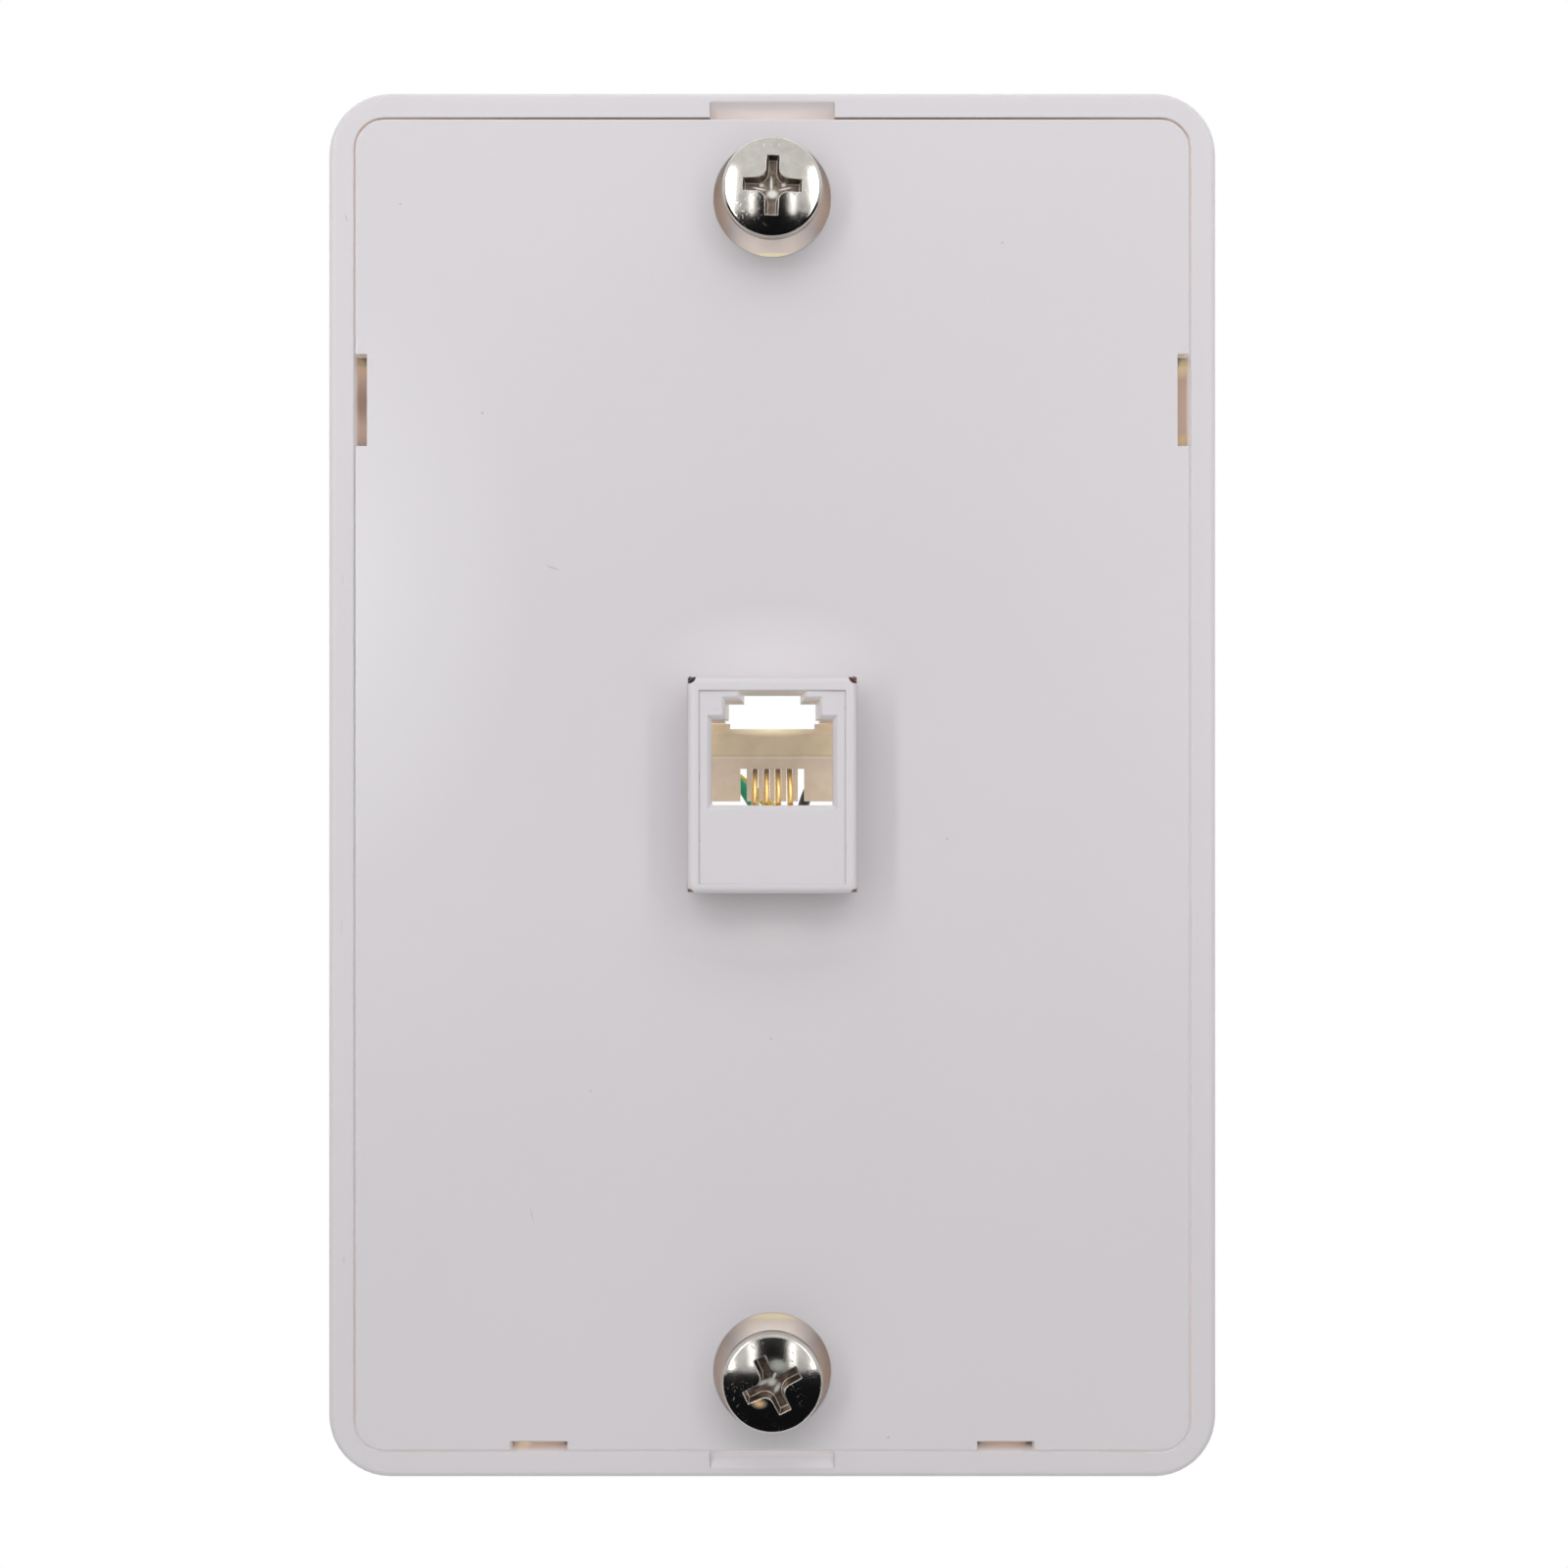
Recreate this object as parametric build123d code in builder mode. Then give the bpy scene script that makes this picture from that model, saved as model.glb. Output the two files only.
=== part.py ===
from build123d import *
import os
from math import asin, cos, pi, radians, sin, tan

# Wall plate for a wall telephone, upright as it hangs: +Z up, front towards -Y.
# The origin is on the wall face, midway between the two box screws.
# A level is a distance in front of the wall; levels below zero reach into the wall box.

# Plate frame
plate_width = 76.2
plate_corner = 5.5
plate_depth = 8.0
plate_draft = 2.0
rim_width = 2.15
rim_round = 0.55
floor_thickness = 2.0
pry_width = 10.6
pry_reach = 1.35
pry_drop = 1.1

# Cover panel
panel_thickness = 1.8
panel_corner = 2.5
panel_gap = 0.12
panel_edge_round = 0.12
stud_hole_radius = 5.0

# Snap legs of the panel and the catches in the frame
snap_side_z = 32.8
snap_side_length = 7.8
snap_side_window = 1.0
snap_low_x = 19.9
snap_low_length = 4.85
snap_low_window = 0.8
snap_leg_thickness = 1.2
snap_end_gap = 0.4
snap_wall_gap = 0.25
snap_hold = 0.3
snap_leg_foot = 2.4
snap_barb_top = 3.8
snap_barb_land = 0.5
snap_catch_gap = 0.2
snap_catch_thickness = 1.0

# Rests that carry the panel's edge
rest_reach = 1.6
rest_thickness = 1.4
rest_side_pitch = 29.0
rest_side_rows = 4
rest_end_pitch = 52.0

# Studs for the telephone's keyholes
stud_spacing = 100.0
stud_margin = 9.3
stud_head_radius = 4.225
stud_head_band = 1.2
stud_head_crown = 0.75
stud_head_round = 0.45
stud_stand_off = 2.8
stud_neck_radius = 2.5
stud_thread_radius = 2.0
stud_bore_gap = 0.1
stud_cross_span = 5.05
stud_cross_arm = 1.15
stud_cross_corner = 0.75
stud_cross_depth = 1.4
stud_cross_taper = 9.0
stud_upper_turn = -2.0
stud_lower_turn = 26.0
stud_end_inset = 0.3
nut_flats = 7.0
nut_thickness = 2.8
nut_pocket_gap = 0.1
nut_inset = 0.6
pedestal_width = 17.0
pedestal_inner_reach = 4.6
pedestal_outer_reach = 5.2

# Screws into the wall box
box_screw_spacing = 83.3
box_screw_hole_radius = 2.1

# Jack housing
jack_width = 14.1
jack_height = 18.0
jack_corner = 0.7
jack_round = 0.6
jack_proud = 5.5
jack_rear_level = -1.6
jack_panel_gap = 0.15
jack_seat_gap = 0.15
jack_bottom_wall = 1.6
jack_front_wall = 1.7
jack_flange_reach = 1.5
jack_flange_thickness = 1.2
jack_barb_width = 4.0
jack_barb_reach = 0.6
jack_barb_length = 1.0
jack_barb_gap = 0.1
face_width = 12.15
face_height = 16.05
face_drop = 0.18
face_recess = 0.15

# Mouth of the jack, measured from the jack's centre
mouth_width = 10.1
mouth_top = 5.45
mouth_bottom = -1.7
mouth_chamfer = 0.35
mouth_chamfer_angle = 45.0
mouth_side_relief = 0.3
shoulder_width = 7.9
shoulder_top = 7.1
latch_width = 5.3
latch_top = 7.83
latch_draft = 3.0
latch_lead_in = 0.25
latch_wall = 5.0
latch_relief_width = 8.3
latch_relief_top = 8.3

# Slotted comb at the back of the plug cavity
comb_setback = 7.1
comb_thickness = 1.8
comb_top = 2.6
comb_bottom = -1.45
comb_end_groove = 0.8
comb_groove_gap = 0.05
comb_backer_top = 4.95
comb_backer_setback = 0.5
comb_backer_chamfer = 0.5
comb_window_width = 7.5
comb_cheek_setback = 1.0
contact_pitch = 1.016
slot_count = 6
slot_width = 0.58
slot_top = 1.42
slot_lip = 0.5
slot_relief_top = 1.8

# Spring wires and the block that carries them
contact_radius = 0.23
contact_count = 4
contact_run_z = -3.6
contact_nose_setback = 2.25
contact_nose_z = -1.85
contact_nose_radius = 0.75
contact_tail_radius = 0.8
contact_tip_z = 1.38
contact_tip_inset = 0.4
contact_straight_end = 3.0
tail_pitch = 1.9
tail_length = 2.2
carrier_rear_level = -2.5
carrier_gap = 0.08
carrier_plate_top = -2.15
carrier_plate_bottom = -3.3
carrier_plate_nose = 0.55
carrier_slot_bottom = -4.15
carrier_slot_width = 7.4
carrier_block_setback = 4.0

# Terminals on the floor
terminal_x = 21.3
terminal_upper_z = 6.0
terminal_lower_z = -8.0
terminal_pad_radius = 4.2
terminal_pad_height = 0.8
terminal_boss_radius = 3.2
terminal_boss_length = 1.8
terminal_boss_skin = 0.6
washer_side = 6.5
washer_thickness = 0.6
washer_corner = 0.5
washer_hole_gap = 0.15
screw_shank_radius = 1.5
screw_bore_gap = 0.05
screw_shank_length = 4.4
screw_head_radius = 3.0
screw_head_height = 1.7
screw_head_round = 0.5
screw_slot_width = 0.9
screw_slot_depth = 0.8
screw_slot_turn = 45.0
lug_thickness = 0.5
lug_radius = 3.0
lug_fork_width = 3.4
lug_neck_width = 2.0
lug_barrel_start = 4.2
lug_barrel_length = 3.5
lug_barrel_radius = 0.85
lug_barrel_sink = 0.05
lug_lower_left_turn = 60.0
lug_lower_right_turn = 200.0

# Openings in the floor where wires come through
side_window_x = 12.3
side_window_width = 6.2
side_window_height = 16.0
top_window_z = 14.2
top_window_width = 16.0
top_window_height = 6.4
window_corner = 1.2

# Leads
lead_diameter = 1.0
lead_least_radius = 3.0 * lead_diameter
lead_share = 0.45

# Sizes that follow from the ones above
plate_height = stud_spacing + 2 * stud_margin
stud_z = stud_spacing / 2
front_width = plate_width - 2 * plate_depth * tan(radians(plate_draft))
front_height = plate_height - 2 * plate_depth * tan(radians(plate_draft))
pocket_width = front_width - 2 * rim_width
pocket_height = front_height - 2 * rim_width
pocket_corner = panel_corner + panel_gap
panel_width = pocket_width - 2 * panel_gap
panel_height = pocket_height - 2 * panel_gap
panel_back = plate_depth - panel_thickness
jack_front = plate_depth + jack_proud
seat_width = jack_width + 2 * jack_seat_gap
seat_height = jack_height + 2 * jack_seat_gap
cavity_width = mouth_width + 2 * mouth_side_relief
cavity_bottom = -jack_height / 2 + jack_bottom_wall
comb_front = plate_depth - comb_setback
comb_rear = comb_front - comb_thickness
pad_top = floor_thickness + terminal_pad_height
washer_top = pad_top + washer_thickness
lug_top = washer_top + lug_thickness
barrel_level = washer_top + lug_barrel_radius + lug_barrel_sink
lug_reach = lug_barrel_start + lug_barrel_length
head_under = plate_depth + stud_stand_off
head_rim = head_under + stud_head_band
nut_front = nut_inset + nut_thickness
contact_nose = jack_front - contact_nose_setback

# Name, place and turn of each terminal
terminals = {
    "black": (-terminal_x, terminal_upper_z, 0.0),
    "red": (terminal_x, terminal_upper_z, 180.0),
    "green": (-terminal_x, terminal_lower_z, lug_lower_left_turn),
    "yellow": (terminal_x, terminal_lower_z, lug_lower_right_turn),
}
# Order of the leads at the jack's back, from left to right as seen from the front
tail_order = ["red", "green", "yellow", "black"]


def level(height):
    """Plane parallel to the wall, this far in front of it."""
    return Plane.XZ.offset(height)


def inward_level(height):
    """The same plane, but facing the wall."""
    return Plane(origin=(0, -height, 0), x_dir=(-1, 0, 0), z_dir=(0, 1, 0))


def edge_plane(outward, x, z):
    """Section plane at the panel's edge: local x points outward, local y to the front."""
    towards = Vector(*outward)
    return Plane(origin=(x, 0, z), x_dir=towards, z_dir=towards.cross(Vector(0, -1, 0)))


def finish(piece, name):
    """Label a finished piece and write its file."""
    piece.part.label = name
    export_step(piece.part, f"parts/{name}.step")


os.makedirs("parts", exist_ok=True)

# Each snap: outward direction, edge point, length along the edge, window depth
snaps = [
    ((1, 0, 0), panel_width / 2, snap_side_z, snap_side_length, snap_side_window),
    ((-1, 0, 0), -panel_width / 2, snap_side_z, snap_side_length, snap_side_window),
    ((0, 0, -1), snap_low_x, -panel_height / 2, snap_low_length, snap_low_window),
    ((0, 0, -1), -snap_low_x, -panel_height / 2, snap_low_length, snap_low_window),
]

# Frame: a tray with a rim, stud pedestals, terminal pads and the jack's seat
with BuildPart() as base_frame:
    with BuildSketch(level(0)):
        RectangleRounded(plate_width, plate_height, plate_corner)
    extrude(amount=plate_depth, taper=plate_draft)
    fillet(base_frame.faces().sort_by(Axis.Y)[0].outer_wire().edges(), rim_round)
    with BuildSketch(level(floor_thickness)):
        RectangleRounded(pocket_width, pocket_height, pocket_corner)
    extrude(amount=plate_depth, mode=Mode.SUBTRACT)
    # pedestals under the studs
    with BuildSketch(level(floor_thickness)):
        for side in (1, -1):
            with Locations((0, side * (stud_z + (pedestal_outer_reach - pedestal_inner_reach) / 2))):
                Rectangle(pedestal_width, pedestal_outer_reach + pedestal_inner_reach)
    extrude(amount=panel_back - floor_thickness)
    # short ribs on the walls that carry the panel's edge
    with BuildSketch(level(floor_thickness)):
        with GridLocations(pocket_width - rest_reach, rest_side_pitch, 2, rest_side_rows):
            Rectangle(rest_reach, rest_thickness)
        with GridLocations(rest_end_pitch, pocket_height - rest_reach, 2, 2):
            Rectangle(rest_thickness, rest_reach)
    extrude(amount=panel_back - floor_thickness)
    # terminal pads in front and their bosses behind
    with BuildSketch(level(floor_thickness)):
        for x, z, turn in terminals.values():
            with Locations((x, z)):
                Circle(terminal_pad_radius)
    extrude(amount=terminal_pad_height)
    with BuildSketch(level(0)):
        for x, z, turn in terminals.values():
            with Locations((x, z)):
                Circle(terminal_boss_radius)
    extrude(amount=-terminal_boss_length)
    with BuildSketch(level(pad_top)):
        for x, z, turn in terminals.values():
            with Locations((x, z)):
                Circle(screw_shank_radius + screw_bore_gap)
    extrude(amount=-(pad_top + terminal_boss_length - terminal_boss_skin), mode=Mode.SUBTRACT)
    # catches for the panel's snap legs
    for outward, x, z, length, window in snaps:
        catch_in = panel_gap + snap_wall_gap + snap_hold
        catch_bottom = snap_barb_top + snap_catch_gap
        catch_top = catch_bottom + snap_catch_thickness
        with BuildSketch(edge_plane(outward, x, z)):
            with BuildLine():
                Polyline(
                    (panel_gap, catch_bottom),
                    (panel_gap - catch_in, catch_bottom),
                    (panel_gap - catch_in, catch_bottom + catch_in / 2),
                    (panel_gap, catch_top + catch_in / 2),
                    close=True,
                )
            make_face()
        extrude(amount=length / 2 - snap_end_gap, both=True)
    # pry notches in the rim, deepest beside the panel
    for side in (1, -1):
        with BuildSketch(Plane.YZ):
            with BuildLine():
                Polyline(
                    (-plate_depth + pry_drop, side * pocket_height / 2),
                    (-plate_depth, side * (pocket_height / 2 + pry_reach)),
                    (-plate_depth - pry_drop, side * (pocket_height / 2 + pry_reach)),
                    (-plate_depth - pry_drop, side * pocket_height / 2),
                    close=True,
                )
            make_face()
        extrude(amount=pry_width / 2, both=True, mode=Mode.SUBTRACT)
    # the jack's seat, the wire windows, the stud bores and the box-screw holes
    with BuildSketch(level(0)):
        Rectangle(seat_width, seat_height)
        with GridLocations(2 * side_window_x, 0, 2, 1):
            RectangleRounded(side_window_width, side_window_height, window_corner)
        with Locations((0, top_window_z)):
            RectangleRounded(top_window_width, top_window_height, window_corner)
        with GridLocations(0, box_screw_spacing, 1, 2):
            Circle(box_screw_hole_radius)
        with GridLocations(0, stud_spacing, 1, 2):
            Circle(stud_thread_radius + stud_bore_gap)
    extrude(amount=plate_depth, mode=Mode.SUBTRACT)
    # nut pockets, open at the wall side
    with BuildSketch(level(0)):
        with GridLocations(0, stud_spacing, 1, 2):
            RegularPolygon(nut_flats / 2 + nut_pocket_gap, 6, major_radius=False)
    extrude(amount=nut_front, mode=Mode.SUBTRACT)
finish(base_frame, "base_frame")

# Cover panel: a flat sheet with four snap legs
with BuildPart() as cover_panel:
    with BuildSketch(level(panel_back)):
        RectangleRounded(panel_width, panel_height, panel_corner)
    extrude(amount=panel_thickness)
    fillet(cover_panel.faces().sort_by(Axis.Y)[0].edges(), panel_edge_round)
    with BuildSketch(level(panel_back)):
        Rectangle(jack_width + 2 * jack_panel_gap, jack_height + 2 * jack_panel_gap)
        with GridLocations(0, stud_spacing, 1, 2):
            Circle(stud_hole_radius)
        with Locations((0, snap_side_z)):
            with GridLocations(panel_width, 0, 2, 1):
                Rectangle(2 * snap_side_window, snap_side_length)
        with Locations((0, -panel_height / 2)):
            with GridLocations(2 * snap_low_x, 0, 2, 1):
                Rectangle(snap_low_length, 2 * snap_low_window)
    extrude(amount=panel_thickness, mode=Mode.SUBTRACT)
    for outward, x, z, length, window in snaps:
        with BuildSketch(edge_plane(outward, x, z)):
            with BuildLine():
                Polyline(
                    (-window, panel_back),
                    (-window, snap_barb_top),
                    (-snap_wall_gap, snap_barb_top),
                    (-snap_wall_gap, snap_barb_top - snap_barb_land),
                    (-window, snap_leg_foot),
                    (-window - snap_leg_thickness, snap_leg_foot),
                    (-window - snap_leg_thickness, panel_back),
                    close=True,
                )
            make_face()
        extrude(amount=length / 2 - snap_end_gap, both=True)
finish(cover_panel, "cover_panel")

# Jack housing: a tube with a front wall, a stepped latch opening and a seating flange
with BuildPart() as jack_housing:
    with BuildSketch(level(jack_rear_level)):
        RectangleRounded(jack_width, jack_height, jack_corner)
    extrude(amount=jack_front - jack_rear_level)
    fillet(jack_housing.faces().sort_by(Axis.Y)[0].edges(), jack_round)
    with BuildSketch(level(floor_thickness)):
        Rectangle(jack_width + 2 * jack_flange_reach, jack_height + 2 * jack_flange_reach)
    extrude(amount=jack_flange_thickness)
    # barbs that hold the housing behind the floor
    for side in (1, -1):
        with BuildSketch(Plane.XY):
            with BuildLine():
                Polyline(
                    (side * jack_width / 2, jack_barb_gap),
                    (side * (jack_width / 2 + jack_barb_reach), jack_barb_gap),
                    (side * jack_width / 2, jack_barb_gap + jack_barb_length),
                    close=True,
                )
            make_face()
        extrude(amount=jack_barb_width / 2, both=True)
    # shallow recess of the front face
    with BuildSketch(level(jack_front)):
        with Locations((0, -face_drop)):
            Rectangle(face_width, face_height)
    extrude(amount=-face_recess, mode=Mode.SUBTRACT)
    # hollow behind the front wall, open at the back
    with BuildSketch(level(jack_front - jack_front_wall)):
        with Locations((0, (mouth_top + cavity_bottom) / 2)):
            Rectangle(cavity_width, mouth_top - cavity_bottom)
    extrude(amount=-(jack_front - jack_front_wall - jack_rear_level), mode=Mode.SUBTRACT)
    # mouth with its two latch steps, which narrow towards the back
    with BuildSketch(level(jack_front)):
        with Locations((0, (mouth_top + mouth_bottom) / 2)):
            Rectangle(mouth_width, mouth_top - mouth_bottom)
    extrude(amount=-latch_wall, mode=Mode.SUBTRACT)
    for width, top in ((shoulder_width, shoulder_top), (latch_width, latch_top)):
        with BuildSketch(inward_level(jack_front)):
            with Locations((0, top / 2)):
                Rectangle(width, top)
        extrude(amount=latch_wall, taper=latch_draft, mode=Mode.SUBTRACT)
    with BuildSketch(level(jack_front - latch_wall)):
        with Locations((0, (latch_relief_top + mouth_bottom) / 2)):
            Rectangle(latch_relief_width, latch_relief_top - mouth_bottom)
    extrude(amount=-(jack_front - latch_wall - jack_rear_level), mode=Mode.SUBTRACT)
    # soft edge around the latch steps, and lead-in around the mouth's sides and bottom
    step_in = (face_recess + latch_lead_in) * tan(radians(latch_draft))
    for width, top in ((shoulder_width, shoulder_top - step_in), (latch_width, latch_top - latch_lead_in)):
        with BuildSketch(level(jack_front - face_recess - latch_lead_in)):
            with Locations((0, top / 2)):
                Rectangle(width - 2 * step_in, top)
        extrude(amount=latch_lead_in, taper=-mouth_chamfer_angle, mode=Mode.SUBTRACT)
    with BuildSketch(level(jack_front - face_recess - mouth_chamfer)):
        with Locations((0, (mouth_top + mouth_bottom) / 2)):
            Rectangle(mouth_width, mouth_top - mouth_bottom)
    extrude(amount=mouth_chamfer, taper=-mouth_chamfer_angle, mode=Mode.SUBTRACT)
    # grooves that take the comb's ends
    groove_height = mouth_top - comb_bottom + comb_groove_gap
    with BuildSketch(level(comb_front + comb_groove_gap)):
        with Locations((0, mouth_top - groove_height / 2)):
            Rectangle(mouth_width + 2 * comb_end_groove, groove_height)
    extrude(amount=-(comb_front + comb_groove_gap - jack_rear_level), mode=Mode.SUBTRACT)
finish(jack_housing, "jack_housing")

# Comb: slotted lower wall with a slightly recessed upper wall
with BuildPart() as contact_comb:
    comb_width = mouth_width + 2 * (comb_end_groove - comb_groove_gap)
    with BuildSketch(level(comb_rear)):
        with Locations((0, (comb_top + comb_bottom) / 2)):
            Rectangle(comb_width, comb_top - comb_bottom)
    extrude(amount=comb_thickness)
    with BuildSketch(level(comb_rear)):
        with Locations((0, (comb_backer_top + comb_bottom) / 2)):
            Rectangle(comb_width, comb_backer_top - comb_bottom)
    extrude(amount=comb_thickness - comb_backer_setback)
    backer_edge = contact_comb.edges().group_by(Axis.Z)[-1].sort_by(Axis.Y)[0]
    chamfer(backer_edge, comb_backer_chamfer)
    # cheeks beside the latch's window
    comb_side_top = mouth_top - comb_groove_gap
    with BuildSketch(level(comb_rear)):
        with Locations((0, comb_side_top / 2)):
            Rectangle(comb_width, comb_side_top)
        with Locations((0, (comb_side_top + comb_backer_top) / 2)):
            Rectangle(comb_window_width, comb_side_top - comb_backer_top, mode=Mode.SUBTRACT)
    extrude(amount=comb_thickness - comb_cheek_setback)
    # slots, higher behind their front lip where the wires' tips rest
    with BuildSketch(level(comb_rear)):
        with Locations((0, comb_bottom)):
            with GridLocations(contact_pitch, 0, slot_count, 1):
                Rectangle(slot_width, 2 * (slot_top - comb_bottom))
    extrude(amount=comb_thickness, mode=Mode.SUBTRACT)
    with BuildSketch(level(comb_rear)):
        with Locations((0, comb_bottom)):
            with GridLocations(contact_pitch, 0, slot_count, 1):
                Rectangle(slot_width, 2 * (slot_relief_top - comb_bottom))
    extrude(amount=comb_thickness - slot_lip, mode=Mode.SUBTRACT)
finish(contact_comb, "contact_comb")

# Carrier: a thin plate that the wires bend around, on a block that fills the lower bay
carrier_width = cavity_width - 2 * carrier_gap
carrier_bottom = cavity_bottom + carrier_gap
carrier_block_front = jack_front - carrier_block_setback
carrier_nose = contact_nose - contact_radius - carrier_gap
with BuildPart() as contact_carrier:
    with BuildSketch(level(carrier_rear_level)):
        with Locations((0, (carrier_plate_top + carrier_bottom) / 2)):
            Rectangle(carrier_width, carrier_plate_top - carrier_bottom)
    extrude(amount=carrier_block_front - carrier_rear_level)
    with BuildSketch(level(carrier_block_front)):
        with Locations((0, (carrier_plate_top + carrier_plate_bottom) / 2)):
            Rectangle(carrier_width, carrier_plate_top - carrier_plate_bottom)
    extrude(amount=carrier_nose - carrier_block_front)
    nose_edges = contact_carrier.faces().sort_by(Axis.Y)[0].edges().filter_by(Axis.X)
    fillet(nose_edges, carrier_plate_nose)
    with BuildSketch(level(carrier_rear_level)):
        with Locations((0, (carrier_plate_bottom + carrier_slot_bottom) / 2)):
            Rectangle(carrier_slot_width, carrier_plate_bottom - carrier_slot_bottom)
    extrude(amount=carrier_block_front - carrier_rear_level, mode=Mode.SUBTRACT)
finish(contact_carrier, "contact_carrier")

# Spring wires: a tail in the carrier, a bend around its nose and a spring arm into the comb
for place in range(contact_count):
    across = place - (contact_count - 1) / 2
    wire_x = across * contact_pitch
    tail_x = across * tail_pitch
    tail_front = carrier_rear_level + tail_length
    with BuildPart() as contact_wire:
        with BuildLine() as wire_path:
            FilletPolyline(
                (tail_x, -carrier_rear_level, contact_run_z),
                (tail_x, -tail_front, contact_run_z),
                (wire_x, -(tail_front + contact_straight_end), contact_run_z),
                (wire_x, -contact_nose, contact_run_z),
                (wire_x, -contact_nose, contact_nose_z),
                (wire_x, -(comb_rear + contact_tip_inset), contact_tip_z),
                radius=[contact_tail_radius, contact_tail_radius, contact_nose_radius, contact_nose_radius],
            )
        with BuildSketch(Plane(origin=wire_path.line @ 0, z_dir=wire_path.line % 0)):
            Circle(contact_radius)
        sweep()
    finish(contact_wire, f"contact_wire_{place + 1}")


def stud_piece(name, side, turn):
    """Shouldered cross-recess stud, clamped in its pedestal by a nut."""
    crown_radius = (stud_head_radius ** 2 + stud_head_crown ** 2) / (2 * stud_head_crown)
    crown_top = head_rim + stud_head_crown
    half_angle = asin(stud_head_radius / crown_radius) / 2
    crown_middle = (
        crown_radius * sin(half_angle),
        crown_top - crown_radius * (1 - cos(half_angle)),
    )
    section = Plane(origin=(0, 0, side * stud_z), x_dir=(1, 0, 0), z_dir=(0, 0, -1))
    with BuildPart() as stud:
        with BuildSketch(section) as outline:
            with BuildLine():
                Polyline(
                    (0, crown_top),
                    (0, stud_end_inset),
                    (stud_thread_radius, stud_end_inset),
                    (stud_thread_radius, panel_back),
                    (stud_neck_radius, panel_back),
                    (stud_neck_radius, head_under),
                    (stud_head_radius, head_under),
                    (stud_head_radius, head_rim),
                )
                ThreePointArc((stud_head_radius, head_rim), crown_middle, (0, crown_top))
            make_face()
            rim_corner = outline.vertices().group_by(Axis.X)[-1].sort_by(Axis.Y)[-1]
            fillet(rim_corner, stud_head_round)
        revolve(axis=Axis((0, 0, side * stud_z), (0, 1, 0)))
        inward = Plane(
            origin=(0, -crown_top, side * stud_z),
            x_dir=(cos(radians(turn)), 0, sin(radians(turn))),
            z_dir=(0, 1, 0),
        )
        with BuildSketch(inward) as cross:
            Rectangle(stud_cross_span, stud_cross_arm)
            Rectangle(stud_cross_arm, stud_cross_span)
            fillet(cross.vertices().sort_by(SortBy.DISTANCE)[:4], stud_cross_corner)
        extrude(amount=stud_cross_depth, taper=stud_cross_taper, mode=Mode.SUBTRACT)
    finish(stud, name)


stud_piece("stud_upper", 1, stud_upper_turn)
stud_piece("stud_lower", -1, stud_lower_turn)

# Nuts behind the pedestals
for name, side in (("stud_nut_upper", 1), ("stud_nut_lower", -1)):
    with BuildPart() as stud_nut:
        with BuildSketch(level(nut_inset)):
            with Locations((0, side * stud_z)):
                RegularPolygon(nut_flats / 2, 6, major_radius=False)
                Circle(stud_thread_radius, mode=Mode.SUBTRACT)
        extrude(amount=nut_thickness)
    finish(stud_nut, name)


def lug_place(name):
    """Plane on a terminal's washer, with local x along the lug towards its barrel."""
    x, z, turn = terminals[name]
    return Plane(
        origin=(x, -washer_top, z),
        x_dir=(cos(radians(turn)), 0, sin(radians(turn))),
        z_dir=(0, -1, 0),
    )


def lead_end(name):
    """Where a lead meets its lug's barrel."""
    return lug_place(name).from_local_coords((lug_reach, 0, barrel_level - washer_top))


# Terminal hardware, one set for each lead
for name, (x, z, turn) in terminals.items():
    with BuildPart() as washer:
        with BuildSketch(level(pad_top)):
            with Locations((x, z)):
                RectangleRounded(washer_side, washer_side, washer_corner)
                Circle(screw_shank_radius + washer_hole_gap, mode=Mode.SUBTRACT)
        extrude(amount=washer_thickness)
    finish(washer, f"terminal_washer_{name}")
    with BuildPart() as screw:
        with BuildSketch(level(lug_top)):
            with Locations((x, z)):
                Circle(screw_head_radius)
        extrude(amount=screw_head_height)
        fillet(screw.faces().sort_by(Axis.Y)[0].edges(), screw_head_round)
        with BuildSketch(level(lug_top)):
            with Locations((x, z)):
                Circle(screw_shank_radius)
        extrude(amount=-screw_shank_length)
        with BuildSketch(level(lug_top + screw_head_height)):
            with Locations(Location((x, z, 0), (0, 0, turn + screw_slot_turn))):
                Rectangle(2 * screw_head_radius, screw_slot_width)
        extrude(amount=-screw_slot_depth, mode=Mode.SUBTRACT)
    finish(screw, f"terminal_screw_{name}")
    spot = lug_place(name)
    with BuildPart() as lug:
        with BuildSketch(spot):
            Circle(lug_radius)
            with Locations((lug_radius / 2 + lug_barrel_start / 2, 0)):
                Rectangle(lug_barrel_start - lug_radius / 2, lug_neck_width)
            Circle(lug_fork_width / 2, mode=Mode.SUBTRACT)
            with Locations((-lug_radius / 2, 0)):
                Rectangle(lug_radius, lug_fork_width, mode=Mode.SUBTRACT)
        extrude(amount=lug_thickness)
        barrel_start = spot.from_local_coords((lug_barrel_start, 0, barrel_level - washer_top))
        with BuildSketch(Plane(origin=barrel_start, z_dir=spot.x_dir)):
            Circle(lug_barrel_radius)
        extrude(amount=lug_barrel_length)
        barrel_root = spot.from_local_coords((lug_barrel_start - lug_barrel_radius, 0, lug_thickness / 2))
        with BuildSketch(Plane(origin=barrel_root, x_dir=spot.z_dir, z_dir=spot.x_dir)):
            Rectangle(lug_thickness, lug_neck_width)
        extrude(amount=2 * lug_barrel_radius)
    finish(lug, f"lug_{name}")

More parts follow.
